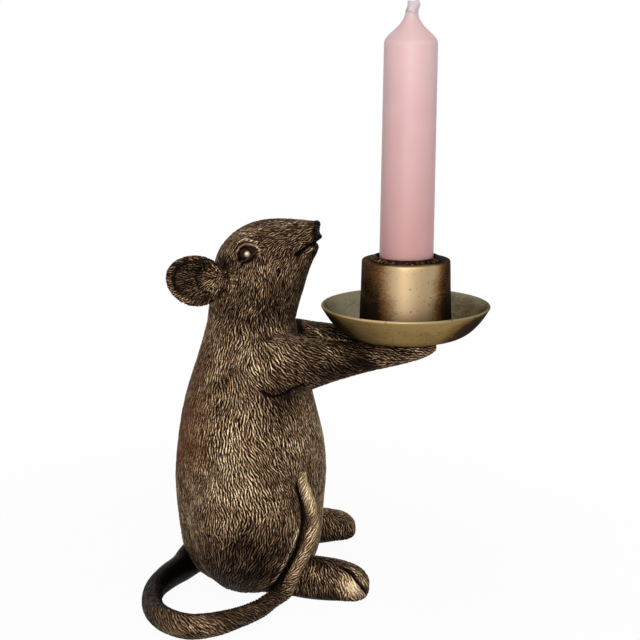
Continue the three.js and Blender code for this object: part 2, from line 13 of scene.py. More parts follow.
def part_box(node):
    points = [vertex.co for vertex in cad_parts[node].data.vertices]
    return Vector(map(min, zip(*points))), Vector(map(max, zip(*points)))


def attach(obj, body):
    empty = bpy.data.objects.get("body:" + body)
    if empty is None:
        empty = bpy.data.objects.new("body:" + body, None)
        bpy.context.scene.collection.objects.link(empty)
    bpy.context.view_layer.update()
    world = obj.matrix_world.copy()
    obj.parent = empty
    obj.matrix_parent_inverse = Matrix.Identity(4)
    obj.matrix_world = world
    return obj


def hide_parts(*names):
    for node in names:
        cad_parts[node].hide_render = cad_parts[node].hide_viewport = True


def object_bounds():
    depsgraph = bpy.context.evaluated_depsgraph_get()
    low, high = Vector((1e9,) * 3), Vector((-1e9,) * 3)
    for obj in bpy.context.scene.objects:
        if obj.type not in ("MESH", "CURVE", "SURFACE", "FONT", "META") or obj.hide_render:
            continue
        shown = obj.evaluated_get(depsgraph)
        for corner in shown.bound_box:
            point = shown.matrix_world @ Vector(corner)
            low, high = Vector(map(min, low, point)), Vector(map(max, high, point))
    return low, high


bl_info = {
    "name": "Mouse candle holder",
    "version": (1, 0, 0),
    "blender": (4, 5, 0),
    "location": "View3D > Sidebar > Candle holder",
    "description": "Carved and gilded surfaces for a mouse candle holder",
    "category": "Object",
}

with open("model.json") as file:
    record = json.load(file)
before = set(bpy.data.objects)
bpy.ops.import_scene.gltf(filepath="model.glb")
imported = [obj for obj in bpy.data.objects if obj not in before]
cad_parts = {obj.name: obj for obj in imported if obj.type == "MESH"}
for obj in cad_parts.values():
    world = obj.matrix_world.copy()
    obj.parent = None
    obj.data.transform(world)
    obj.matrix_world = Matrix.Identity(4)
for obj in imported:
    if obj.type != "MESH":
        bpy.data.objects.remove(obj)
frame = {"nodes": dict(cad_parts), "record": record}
CAD_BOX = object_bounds()
MM = 0.001


def low_mm(node):
    """Lowest corner of a CAD node in millimetres."""
    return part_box(node)[0] / MM


def high_mm(node):
    """Highest corner of a CAD node in millimetres."""
    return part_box(node)[1] / MM


# Places taken from the frame
PLATE_AXIS = (low_mm("candle_cup").x + high_mm("candle_cup").x) / 2
PLATE_SEAT = low_mm("drip_plate").z
CUP_SEAT = low_mm("candle_cup").z
CUP_RIM = high_mm("candle_cup").z
PLATE_WALL = CUP_SEAT - PLATE_SEAT
CUP_FOOT = (high_mm("candle_cup").x - low_mm("candle_cup").x) / 2
NECK_HEIGHT = low_mm("head").z

# Radius of the cup's well
CUP_WELL = 13.2

# The head looks up and is turned and tipped towards its right side
HEAD_YAW = math.radians(-10)
HEAD_ROLL = math.radians(-8)
HEAD_TURN = Matrix.Rotation(HEAD_YAW, 3, "Z") @ Matrix.Rotation(HEAD_ROLL, 3, "X")
HEAD_PIVOT = Vector((0, 0, NECK_HEIGHT))

SIDES = {"right": -1, "left": 1}
CAST_NODES = ["body", "head", *(f"{side}_{part}" for side in SIDES for part in ("arm", "foot"))]
EAR_NODES = [f"{side}_ear" for side in SIDES]
CORE_NODES = ["neck_dowel", *(f"{side}_{part}_dowel" for side in SIDES for part in ("arm", "foot"))]

# Which way the fur lies, seen from the mouse's right side: x, z, then the direction
FUR_LAY = [
    # Snout, brow and cheek
    (16.7, 146.8, -1, -0.1),
    (21.8, 143, -0.8, -0.55),
    (11.7, 142.3, -1, -0.35),
    (1.4, 143.9, -1, -0.1),
    (-9.1, 139.5, -0.7, -0.7),
    (-12.1, 133.6, -0.45, -0.9),
    (-5.6, 135.7, -0.1, -1),
    (11.7, 133.8, -0.5, -0.85),
    (5.7, 129.9, 0.1, -1),
    (18.2, 133.3, -0.6, -0.8),
    (20.7, 128.7, -0.35, -0.95),
    (-0.9, 125.3, -0.1, -1),
    (-6.1, 129.4, -0.3, -0.95),
    # Neck
    (-10.8, 121.9, -0.5, -0.8),
    (6.6, 120.4, -0.05, -1),
    (16.7, 119.4, -0.3, -1),
    (-3.5, 112.7, -0.15, -1),
    (11.6, 109.7, 0.05, -1),
    (-11.4, 109.4, -0.25, -1),
    # Shoulder and arms
    (-6.1, 100.1, -0.1, -1),
    (0.7, 97.9, 0.1, -1),
    (4.3, 93.3, 0.35, -0.95),
    (11.8, 99.3, 0.6, -0.8),
    (19.4, 96.9, 0.8, -0.6),
    (29.4, 94, 0.9, -0.45),
    (6.8, 87.4, 0.5, -0.9),
    (18.1, 91.4, 0.8, -0.6),
    (45, 94, 0.95, -0.35),
    (60, 97, 1, -0.25),
    (74, 98, 1, -0.1),
    # Back, flank and belly
    (-20.5, 78.8, -0.1, -1),
    (-4.7, 70.1, 0.05, -1),
    (-16.3, 57.9, 0.15, -1),
    (-0.8, 55.9, 0.3, -0.95),
    (10.4, 58.6, 0.3, -1),
    (21.7, 67.4, 0.05, -1),
    (26.3, 54.8, -0.05, -1),
    # Haunch
    (-15.9, 37.5, 0.1, -1),
    (-4.3, 42.7, 0.4, -0.9),
    (6.9, 42.5, 0.35, -0.9),
    (14.3, 37.8, -0.1, -1),
    (-0.6, 31.7, -0.1, -1),
    (10.5, 24.5, -0.45, -0.9),
    (-22, 22.9, 0.3, -0.9),
    (-4.5, 19.3, -0.3, -0.9),
    (6.5, 9.6, -0.6, -0.6),
    # Feet
    (29.4, 10.7, 0.15, -1),
    (36.9, 8.4, 0.3, -1),
    (44, 7, 0.6, -0.8),
]

# Where the gold paint was rubbed on hardest and where it was missed, and also painted highlights on the
# shoulder, flank, haunch and cheek and painted shade under the arm, on the lower haunch and towards the
# bottom: x, z, reach and amount
GOLD_AND_PAINTED_LIGHT = [
    (4, 95, 14, 0.4),
    (-3, 66, 15, 0.5),
    (-5, 46, 13, 0.6),
    (9, 129, 8, 0.3),
    (-6, 5, 19, -1),
    (8, 20, 13, -0.5),
    (14, 80, 10, -0.8),
    (8, 113, 14, -0.45),
    (4, 141, 16, -0.15),
    (-22, 22, 9, -0.2),
    (22, 60, 12, 0.35),
    (42, 91, 18, -0.8),
]

# Face, in the head's own frame: x forward of the neck, y to the left and z above it
EYE = (0.9, 12.6, 27.6)
EYE_RADIUS = 3.5
EYE_SLANT = math.radians(-24)
EYE_CORNER = (4.9, 27.2)
MOUTH = [(29.5, 33), (27.3, 32.2), (25.3, 30.9), (23, 29.2), (21.2, 27.8)]
MOUTH_END = [(22.6, 28.4), (21.2, 27.4)]
LIP_LINE = [(26.4, 30), (24.6, 28.9), (23, 27.8)]
LIDS = [
    [(-2.6, 25.7), (-2.7, 27.9), (-1.5, 29.8), (0.7, 31), (2.8, 30.9), (4.8, 30.3), (6.2, 29.2)],
    [(-2.5, 31.4), (-0.5, 32.6), (1.5, 32.8), (3.2, 32.3), (5.4, 31.9)],
    [(6, 28.9), (3.8, 26.6), (1.7, 24.9), (-0.6, 24)],
]
BROW = [[(-2.4, 35.3), (1, 34.6), (4.4, 34.4)], [(-2.2, 35.8), (2.3, 36.4), (6.2, 36.8)]]
NOSTRIL = (28.2, 1.6, 38.4)
NOSE_TIP = (28, 0, 39.4)
NOSE_NOTCH = (29, 37)

# Ears, in the head's own frame: the middle of each dish, half its length and height, and the root that
# its fur runs out from, measured from that middle
EAR_MIDDLE = {"right": (-19.3, -16, 17.3), "left": (-17.7, 16, 13.3)}
EAR_REACH = (11.8, 9.2)
EAR_ROOT = (10, -1.5, 1.2)

# Clay pressed on the nose and the lips: x, y, z in the head's own frame, then radius
LIP_CLAY = [
    (26.8, 0, 39.6, 1.5),
    (27.3, 1.2, 38.6, 1.1),
    (27.3, -1.2, 38.6, 1.1),
    (26.9, 0, 34.9, 2.1),
    (26.2, 1.8, 34.8, 2),
    (26.2, -1.8, 34.8, 2),
    (25.9, 0, 30.2, 1.8),
    (25.3, 1.5, 30.1, 1.6),
    (25.3, -1.5, 30.1, 1.6),
]

# Feet: heel, how far each lies out, its length and height, and the crease between its toes, given
# along and outwards from the toe tip and as a share of the foot's height
HEEL = 6.01
SPLAY = math.radians(13)
FOOT = {"right": (25.23, 42.9, 16.2), "left": (27.2, 38.8, 14.6)}
TOE_CREASE = [
    (-9, 3.2, 0.86),
    (-7.1, 4, 0.82),
    (-5.4, 4.7, 0.76),
    (-3.4, 5.5, 0.64),
    (-1.4, 5.2, 0.48),
    (0, 2.6, 0.27),
]

# The polished cap of the outer toe in millimetres from the toe tip, and the strip beyond the crease,
# given as the crease is: along, outwards and a share of the foot's height
TOE_CAP = (-4, 7.3, 7.2)
TOE_STRIP = [(-6.2, 1.6, 0.83), (-2.8, 3, 0.71), (-0.4, 2.6, 0.46)]

# A bare fold of skin on the left arm, next to the neck
ARM_FOLD = [(27.7, 9.7, 99.8), (29.7, 8.7, 97.9), (32.7, 8.3, 97.1), (38.9, 7.8, 96.4)]

# The crease under each upper arm, from behind its elbow to its front: x, distance out and z
ARM_CREASE = [
    (5.6, 24.6, 83.3),
    (7.9, 24, 81.5),
    (11.1, 23.7, 81),
    (14.7, 24.7, 82.5),
    (17.8, 25.4, 84.8),
    (21.8, 25.3, 86.4),
]

# The gap between the neck and the left arm
NECK_GAP = [(18.6, 15, 104.5), (19.3, 13.5, 103.2), (20.6, 9.1, 100)]

# Spots where the carving is worn smooth and gold: x, y, z and reach
WORN_SPOTS = [
    (55.1, -19.2, 95, 1.8),
    (57.6, -18.1, 93.1, 1.8),
    (61.1, -18.1, 93.9, 1.6),
    (66.7, -18.2, 96, 2),
    (71.6, -16.7, 96.4, 1.8),
]

# The gap before the thigh, which the tail's end lies along, and the thigh's edge, seen from the side
THIGH_GAP = [
    (9, 4),
    (11.7, 6.7),
    (14.1, 10.7),
    (16.9, 15.5),
    (19.3, 20.2),
    (21, 26),
    (22, 31.5),
    (21.6, 37.8),
    (19.7, 45.8),
]
THIGH_EDGE = [(9.3, 6.5), (12.1, 11.1), (14.2, 16.1), (16.2, 20.7), (18.2, 24.9), (19.6, 29)]

# Centre line of the tail and its radius, along the table and up the right haunch
TAIL_PATH = [
    (-18, -3, 10, 8.4),
    (-24.2, -9.4, 8, 6.8),
    (-28.2, -15, 6, 5.6),
    (-33.6, -24.2, 5.3, 5),
    (-37.2, -34, 4.6, 4.3),
    (-37.6, -45, 4.2, 3.9),
    (-34.8, -56.8, 4.5, 4.2),
    (-29, -66.4, 4.9, 4.6),
    (-20.7, -71.7, 5, 4.7),
    (-11.8, -69.5, 4.8, 4.5),
    (-2.9, -61.8, 4.2, 3.9),
    (4.6, -53.5, 4, 3.6),
    (9.6, -43.7, 3.7, 3.3),
    (14.7, -36.5, 4.2, 3),
    (17.4, -37.2, 9.6, 2.8),
    (19.7, -35.6, 14.2, 2.6),
    (22.1, -31.3, 17.6, 2.8),
    (23.9, -27.8, 21.6, 2.8),
    (25.2, -25.5, 26.4, 2.8),
    (25.4, -25.4, 30.6, 2.8),
    (24.5, -25.5, 36, 2.7),
    (22.7, -25.6, 42, 2.5),
    (21.5, -25.5, 46.4, 2.1),
    (21.8, -24.9, 50.2, 1.2),
]

# Camera, and lamps with their place and size in metres and their power as a share of the key lamp's
CAMERA_PLACE = (0.0285, -0.586, 0.23589)
LAMPS = {
    "key": ((0.2, -1.2, 0.55), 0.9, 1),
    "front": ((-0.15, -1.2, 0.3), 0.5, 0.75),
    "top": ((0, -0.1, 1.35), 0.9, 0.5),
}


def linear(hex_colour):
    """An sRGB hex colour as the linear RGBA that Blender's sockets take."""
    channels = [int(hex_colour[i : i + 2], 16) / 255 for i in (1, 3, 5)]
    return (*(c / 12.92 if c <= 0.04045 else ((c + 0.055) / 1.055) ** 2.4 for c in channels), 1)


def hex_property(name, description, default):
    """A colour setting that shows in the sidebar."""
    return bpy.props.FloatVectorProperty(
        name=name,
        description=description,
        subtype="COLOR",
        size=4,
        min=0,
        max=1,
        default=linear(default),
    )


def length_property(name, description, default_mm):
    """A length setting that shows in the sidebar."""
    return bpy.props.FloatProperty(
        name=name,
        description=description,
        subtype="DISTANCE",
        unit="LENGTH",
        min=0,
        default=default_mm * MM,
    )


class FigureSettings(bpy.types.PropertyGroup):
    """Sizes and colours of the carved and gilded mouse."""

    cell: length_property("Skin cell", "Edge length of the faces of the carved skin", 0.3)
    stroke_length: length_property("Stroke length", "Length of one carved lock of fur", 3.8)
    stroke_width: length_property("Stroke width", "Width of one carved lock of fur", 0.95)
    ridge: length_property("Ridge spacing", "From one combed ridge of fur to the next", 1.05)
    depth: length_property("Carving depth", "Height of a ridge above the groove beside it", 0.5)
    seed: bpy.props.IntProperty(name="Seed", description="Arrangement of the locks", default=7)
    soot: hex_property("Recess", "Brown-black paint left in the grooves", "#0a0604")
    umber: hex_property("Umber", "Dark brown coat under the bronze", "#291c13")
    bronze: hex_property("Bronze", "Bronze-brown coat on the locks", "#66503c")
    gold: hex_property("Gold", "Gold paint rubbed over the locks", "#a68b69")
    pale_gold: hex_property("Pale gold", "Gold paint where it lies thickest", "#dac8a8")
    rust: hex_property("Red brown", "Bare red-brown coat along the back", "#5a331e")
    eye: hex_property("Eye", "Dark bronze lacquer on the eyes", "#29190f")
    # Painted highlight on the eyes
    eye_painted_highlight: hex_property("Eye, rubbed", "Gold rubbed on the eyes", "#b59c86")


class MetalSettings(bpy.types.PropertyGroup):
    """Colours of the plate, the cup and the insert."""

    brass: hex_property("Brass", "Worn antique brass", "#ad9573")
    plate: hex_property("Plate", "Duller brass of the drip plate", "#937a4e")
    dust: hex_property("Dust", "Grey lacquer on the upper side of the drip plate", "#8a836b")
    # The plate film, the cup film and the patina colour mostly paint shade at the sides of the plate and
    # the cup
    brown: hex_property("Plate film", "Brown film on the drip plate", "#4d3922")
    cup_film_and_shade: hex_property("Cup film", "Brown film on the cup", "#755231")
    insert_brown: hex_property("Insert film, brown", "Brown film on the insert", "#38261b")
    patina_and_shade: hex_property("Patina", "Dark film on the brass", "#2a1e12")
    worn_edge: hex_property("Worn edge", "Bare brass where the edges are worn", "#cfae7c")
    speck: hex_property("Specks", "Brown specks where the lacquer has gone", "#3f2817")
    glint: hex_property("Glint", "Tint of the highlights at a flat angle", "#4a3a28")
    insert: hex_property("Insert", "Bare flecks on the insert", "#a88661")
    soot: hex_property("Insert film, black", "Blackest film on the insert", "#150e0a")


class CandleSettings(bpy.types.PropertyGroup):
    """Colours of the candle."""

    tip: hex_property("Wax, tip", "Grey lilac of the dipped wick end", "#d6c6cc")
    top: hex_property("Wax, upper end", "Pale pink of the upper candle", "#e6c3c3")
    foot: hex_property("Wax, lower end", "Deeper pink near the cup", "#c58e8c")


class FittingSettings(bpy.types.PropertyGroup):
    """Colours of the steel fittings and the felt pads."""

    steel_dark: hex_property("Steel, dark", "Darker mottle of the steel", "#7c7f82")
    steel_light: hex_property("Steel, light", "Lighter mottle of the steel", "#a3a6a9")
    felt_dark: hex_property("Felt, dark", "Felt between its tufts", "#1c1917")
    felt_light: hex_property("Felt, light", "Tufts of the felt", "#3f3934")


class StageSettings(bpy.types.PropertyGroup):
    """Floor, lamps and camera."""

    ambient: bpy.props.FloatProperty(
        name="Ambient", description="Level of the surrounding light", default=0.25
    )
    key: bpy.props.FloatProperty(
        name="Key lamp", description="Power of the front lamp", unit="POWER", default=6
    )
    lens: bpy.props.FloatProperty(
        name="Lens", description="Focal length of the camera in mm", default=82.69
    )
    pitch: bpy.props.FloatProperty(
        name="Pitch",
        description="How far the camera looks down",
        subtype="ANGLE",
        default=math.radians(12.4),
    )
    paper: hex_property("Floor", "Pale paper of the floor", "#f4f4f4")


def smooth_rows(rows, per_span):
    """Rows of numbers drawn out into a smooth run, through every row that was given."""
    rows = np.array(rows, float)
    out = []
    for i in range(len(rows) - 1):
        before, after = rows[max(i - 1, 0)], rows[min(i + 2, len(rows) - 1)]
        start, end = rows[i], rows[i + 1]
        for t in np.arange(per_span) / per_span:
            ease = t * t * (3 - 2 * t)
            bow = (end - before) / 2 * t * (1 - t) ** 2 - (after - start) / 2 * t * t * (1 - t)
            out.append(start * (1 - ease) + end * ease + bow)
    return np.array([*out, rows[-1]])


def mesh_object(name, points, faces, body):
    """A smooth-shaded object from points in millimetres, on its body."""
    mesh = bpy.data.meshes.new(name)
    mesh.from_pydata((np.asarray(points) * MM).tolist(), [], faces)
    mesh.validate()
    mesh.shade_smooth()
    piece = bpy.data.objects.new(name, mesh)
    bpy.context.scene.collection.objects.link(piece)
    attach(piece, body)
    return piece


def unit(vectors):
    """Vectors brought to length one."""
    return vectors / np.maximum(np.linalg.norm(vectors, axis=-1, keepdims=True), 1e-9)


def positions(mesh):
    """Vertex positions in millimetres."""
    flat = np.empty(len(mesh.vertices) * 3, np.float32)
    mesh.vertices.foreach_get("co", flat)
    return flat.reshape(-1, 3).astype(float) / MM


def normals(mesh):
    """Vertex normals."""
    flat = np.empty(len(mesh.vertices) * 3, np.float32)
    mesh.vertex_normals.foreach_get("vector", flat)
    return flat.reshape(-1, 3).astype(float)


def move_to(mesh, points):
    """Sets vertex positions given in millimetres."""
    mesh.vertices.foreach_set("co", (points * MM).astype(np.float32).ravel())
    mesh.update()


def evaluated(source, *modifiers):
    """A new mesh made from an object under modifiers, given as (type, settings)."""
    for kind, settings in modifiers:
        modifier = source.modifiers.new(kind.title(), kind)
        for name, value in settings.items():
            setattr(modifier, name, value)
    graph = bpy.context.evaluated_depsgraph_get()
    mesh = bpy.data.meshes.new_from_object(source.evaluated_get(graph))
    source.modifiers.clear()
    return mesh


def pairs_near(points, centres, reach):
    """Index pairs of points and the centres near them, one batch for each neighbouring cell."""
    low = points.min(0) - 2 * reach

    def cell_of(places):
        return np.floor((places - low) / reach).astype(np.int64)

    span = cell_of(points).max(0) + 3

    def key_of(cell):
        return (cell[:, 0] * span[1] + cell[:, 1]) * span[2] + cell[:, 2]

    keys = key_of(cell_of(points))
    order = np.argsort(keys, kind="stable")
    keys = keys[order]
    home = cell_of(centres)
    for step in itertools.product((-1, 0, 1), repeat=3):
        wanted = key_of(home + step)
        first = np.searchsorted(keys, wanted, "left")
        count = np.searchsorted(keys, wanted, "right") - first
        start = first - np.concatenate(([0], np.cumsum(count)[:-1]))
        near = order[np.arange(count.sum()) + np.repeat(start, count)]
        yield near, np.repeat(np.arange(len(centres)), count)


def seeds_on(points, spacing, rng):
    """Indexes of points spread over a skin, one to each cell of the spacing."""
    cells = np.floor(points / spacing).astype(np.int64)
    shuffled = rng.permutation(len(points))
    return shuffled[np.unique(cells[shuffled], axis=0, return_index=True)[1]]


def tangents(points, normal, lay, wander, rng):
    """Directions along and across the lay on the skin, swaying from tuft to tuft and hair to hair."""
    along = unit(lay - normal * (lay * normal).sum(1, keepdims=True))
    aside = np.cross(normal, along)
    # Tufts are 4.5 mm across and sway 3.4 times as far as single hairs
    tuft, tuft_sway = 4.5, 3.4
    sway = np.array([noise.noise(Vector(point)) for point in points / tuft])
    turn = (rng.normal(0, wander, len(lay)) + tuft_sway * wander * sway)[:, None]
    return along * np.cos(turn) + aside * np.sin(turn), aside * np.cos(turn) - along * np.sin(turn)


def carve_strokes(points, normal, lay, length, width, rng, wander=0.22):
    """Carves overlapping locks along the lay: each point's height, 0 to 1, and its lock's tone."""
    seeds = seeds_on(points, width * 1.15, rng)
    count = len(seeds)
    along, aside = tangents(points[seeds], normal[seeds], lay[seeds], wander, rng)
    half = length[seeds] / 2 * rng.uniform(0.7, 1.25, count)
    wide = width / 2 * rng.uniform(0.8, 1.25, count)
    bend = rng.normal(0, 0.5, count)
    crest = rng.uniform(0.55, 1, count)
    tone = rng.uniform(0, 1, count)
    height = np.zeros(len(points))
    shade = np.zeros(len(points))
    reach = half.max() * 1.02
    for near, stroke in pairs_near(points, points[seeds], reach):
        offset = points[near] - points[seeds[stroke]]
        u = (offset * along[stroke]).sum(1) / half[stroke]
        v = (offset * aside[stroke]).sum(1) / wide[stroke] - bend[stroke] * (u * u - 0.3)
        taper = np.clip(1 - u * u, 0, 1)
        across = v / np.maximum(taper, 0.05) ** 0.5
        facing = (normal[near] * normal[seeds[stroke]]).sum(1)
        inside = (abs(u) < 1) & (abs(across) < 1) & (facing > 0.2)
        near, stroke, u, across, taper = (a[inside] for a in (near, stroke, u, across, taper))
        lift = crest[stroke] * (1 - across**2) * taper**0.4 * (0.8 + 0.2 * u)
        np.maximum.at(height, near, lift)
        won = height[near] == lift
        shade[near[won]] = tone[stroke[won]]
    return height, shade


def comb_ridges(points, normal, lay, spacing, rng, wander=0.1):
    """Combs wavy ridges, some millimetres long, along the lay: each point's height, 0 to 1."""
    seeds = seeds_on(points, spacing.min() * 1.1, rng)
    along, aside = tangents(points[seeds], normal[seeds], lay[seeds], wander, rng)
    pitch = spacing[seeds] * rng.uniform(0.82, 1.2, len(seeds))
    long, wide = 1.35 * spacing[seeds], 0.75 * spacing[seeds]
    phase = rng.uniform(0, 2 * math.pi, len(seeds))
    bend = rng.normal(0, 0.08, len(seeds))
    field = np.zeros(len(points))
    power = np.zeros(len(points))
    for near, ridge in pairs_near(points, points[seeds], 2 * long.max()):
        offset = points[near] - points[seeds[ridge]]
        u = (offset * along[ridge]).sum(1)
        v = (offset * aside[ridge]).sum(1) + bend[ridge] * u * u
        inside = (abs(u) < 2 * long[ridge]) & (abs(v) < 2 * wide[ridge])
        near, ridge, u, v = (a[inside] for a in (near, ridge, u, v))
        weight = np.exp(-((u / long[ridge]) ** 2) - (v / wide[ridge]) ** 2)
        wave = weight * np.cos(2 * math.pi * v / pitch[ridge] + phase[ridge])
        field += np.bincount(near, wave, len(points))
        power += np.bincount(near, weight**2, len(points))
    return 0.5 + 0.5 * np.tanh(1.6 * field / np.sqrt(np.maximum(power, 1e-6)))


def carve_fur(points, normal, lay, length, width, spacing, rng, wander=0.22):
    """Locks with combed ridges over them: each point's height, 0 to 1, and its lock's own tone."""
    locks, tone = carve_strokes(points, normal, lay, length, width, rng, wander)
    ridges = comb_ridges(points, normal, lay, spacing, rng, wander * 0.8)
    height = 0.45 * locks + 0.55 * ridges
    low, high = np.percentile(height, (7, 96))
    return np.clip((height - low) / (high - low), 0, 1), tone


def planar_lay(points):
    """The fur's lay at each point, blended between the directions in FUR_LAY."""
    total = np.zeros((len(points), 2))
    for x, z, dx, dz in FUR_LAY:
        # A direction counts less the farther off it is, and no more within 1.5 mm than at it
        near = 1 / (((points[:, 0] - x) ** 2 + (points[:, 2] - z) ** 2) ** 1.6 + 4)
        total += near[:, None] * np.array([dx, dz]) / math.hypot(dx, dz)
    return unit(np.stack([total[:, 0], np.zeros(len(points)), total[:, 1]], 1))


def distance_to_line(points, line):
    """Distance from plane points to a polyline."""
    best = np.full(len(points), np.inf)
    for start, end in itertools.pairwise(np.array(line, float)):
        span = end - start
        share = np.clip(((points - start) @ span) / (span @ span), 0, 1)
        best = np.minimum(best, np.linalg.norm(points - start - share[:, None] * span, axis=1))
    return best


def bell(distance, width):
    """A smooth bump, 1 in the middle and nearly 0 at its width."""
    return np.exp(-((distance / width * 1.6) ** 2))


def head_frame(points):
    """Points in the head's own frame, from the neck, before the head was turned and tipped."""
    return (points - np.array(HEAD_PIVOT)) @ np.array(HEAD_TURN)


def model_face(points):
    """Models the face: how far it stands proud, its bare skin, its gold with painted shade on the front
    of the snout, the painted shade in its mouth groove, and its lids.
    """
    local = head_frame(points)
    profile = local[:, [0, 2]]
    on_head = points[:, 2] > NECK_HEIGHT + 15
    side_on = np.clip((abs(local[:, 1]) - 2) / 3, 0, 1)
    from_eye = profile - np.array([EYE[0], EYE[2]])
    reach = np.linalg.norm(from_eye * np.array([1, 1.12]), axis=1)
    angle = np.degrees(np.arctan2(from_eye[:, 1], from_eye[:, 0]))
    # The upper part of the socket reaches down to 35 degrees below the front of the eye
    upper = np.clip((angle + 35) / 30, 0, 1)
    socket = side_on * np.clip((5 - reach) / 0.8, 0, 1)
    raised = np.zeros(len(points))
    gilt = -0.5 * socket
    lids = np.zeros(len(points))
    for line, strength in zip(LIDS, (1, 1, 0.5)):
        lids = np.maximum(lids, strength * side_on * bell(distance_to_line(profile, line), 0.55))
    raised += 0.55 * side_on * bell(np.linalg.norm(profile - np.array(EYE_CORNER), axis=1), 2.4)
    raised += 0.5 * lids
    gilt += 1.4 * lids
    for line in BROW:
        near = side_on * bell(distance_to_line(profile, line), 1)
        raised += 0.4 * near
        gilt += 0.35 * near
    lip = bell(distance_to_line(profile, LIP_LINE), 0.8)
    notch = bell(np.linalg.norm(profile - np.array(NOSE_NOTCH), axis=1), 2)
    mouth_end = bell(distance_to_line(profile, MOUTH_END), 1.4)
    groove = np.maximum(bell(distance_to_line(profile, MOUTH), 1), mouth_end)
    raised += 0.4 * lip - 1.4 * groove - 1.6 * notch
    for side in SIDES.values():
        pit = np.array(NOSTRIL) * np.array([1, side, 1])
        raised -= bell(np.linalg.norm(local - pit, axis=1), 1) * 0.8
    nose = bell(np.linalg.norm(local - np.array(NOSE_TIP), axis=1), 3.5)
    # Painted shade: the front of the snout and the notch below the nose take less gold, as does the nose
    # itself
    front = np.clip((local[:, 0] - 25.4) / 1.5, 0, 1)
    gilt += 0.5 * lip - 0.6 * nose - 0.6 * np.maximum(front, notch)
    bare = np.maximum(socket * (0.5 + 0.5 * upper), nose)
    # The groove goes out to darken the paint along the mouth: painted shade
    return raised * on_head, bare * on_head, gilt * on_head, groove * on_head, 0.55 * lids * on_head


def foot_frame(points, side):
    """Points from the toe tip of a foot: along it, outwards across it, and height."""
    out, length, _ = FOOT[side]
    sign = SIDES[side]
    x, y = points[:, 0] - HEEL, points[:, 1] - sign * out
    along = x * math.cos(SPLAY) + y * sign * math.sin(SPLAY) - length
    across = y * sign * math.cos(SPLAY) - x * math.sin(SPLAY)
    return np.stack([along, across, points[:, 2]], 1)


def model_limbs(points):
    """Models the limbs: how far they stand proud, their polish, their gold with painted light on the
    feet, and the painted shade in their creases.
    """
    raised = np.zeros(len(points))
    polished = np.zeros(len(points))
    gilt = np.zeros(len(points))
    crease_shade = np.zeros(len(points))
    for side in SIDES:
        lit_near_side = side == "right"
        height = FOOT[side][2]
        local = foot_frame(points, side)
        near_foot = (abs(local[:, 1]) < 11) & (local[:, 2] < height + 1)
        grown = np.array([1, 1, height])
        crease = bell(distance_to_line(local, np.array(TOE_CREASE) * grown), 1.3)
        cap = np.clip(1.35 - np.linalg.norm(local - np.array(TOE_CAP), axis=1) / 6, 0, 1) * near_foot
        strip = bell(distance_to_line(local, np.array(TOE_STRIP) * grown), 1.8) * near_foot
        raised -= crease * 1.5 * near_foot
        # Painted shade in the crease between the toes
        crease_shade = np.maximum(crease_shade, crease * near_foot)
        # Painted highlight on the near foot's toe and painted shade on the far foot: the near foot gets
        # more polish and gold
        polished = np.maximum(polished, np.maximum(cap, 0.7 * strip) * (0.58 if lit_near_side else 0.4))
        gilt += np.maximum(0.65 * cap, 0.4 * strip) * (1 if lit_near_side else 0.3)
        # Painted shade: less gold on the feet, most of all within 5 mm of the floor
        gilt -= near_foot * (0.05 + 0.4 * np.clip((5 - local[:, 2]) / 3, 0, 1) * (1 - cap))
    mirrored = points * np.where(points[:, 1:2] < 0, np.array([1, -1, 1]), 1)
    # The creases under the arms and beside the neck are carved, and painted shade darkens them
    neck_gap = bell(distance_to_line(points, NECK_GAP), 2.2)
    armpit = np.maximum(bell(distance_to_line(mirrored, ARM_CREASE), 1.3), neck_gap)
    crease_shade = np.maximum(crease_shade, 0.75 * armpit)
    raised -= 0.6 * armpit
    skin_fold = bell(distance_to_line(points, ARM_FOLD), 1.6)
    raised += 0.4 * skin_fold
    polished = np.maximum(polished, 0.6 * skin_fold)
    gilt += 0.4 * skin_fold
    for x, y, z, reach in WORN_SPOTS:
        spot = bell(np.linalg.norm(points - np.array([x, y, z]), axis=1), reach)
        polished = np.maximum(polished, 0.4 * spot)
        gilt += 0.2 * spot
    outside = np.clip((abs(points[:, 1]) - 20) / 5, 0, 1) * (points[:, 0] < 30)
    profile = points[:, [0, 2]]
    # The gap before the thigh is carved, with painted shade in it; the thigh's edge is raised and gilt
    gap = bell(distance_to_line(profile, THIGH_GAP), 1.6) * outside
    edge = bell(distance_to_line(profile, THIGH_EDGE), 0.9) * outside
    return raised - 0.9 * gap + 0.3 * edge, polished, gilt + 0.6 * edge, np.maximum(crease_shade, 0.8 * gap)


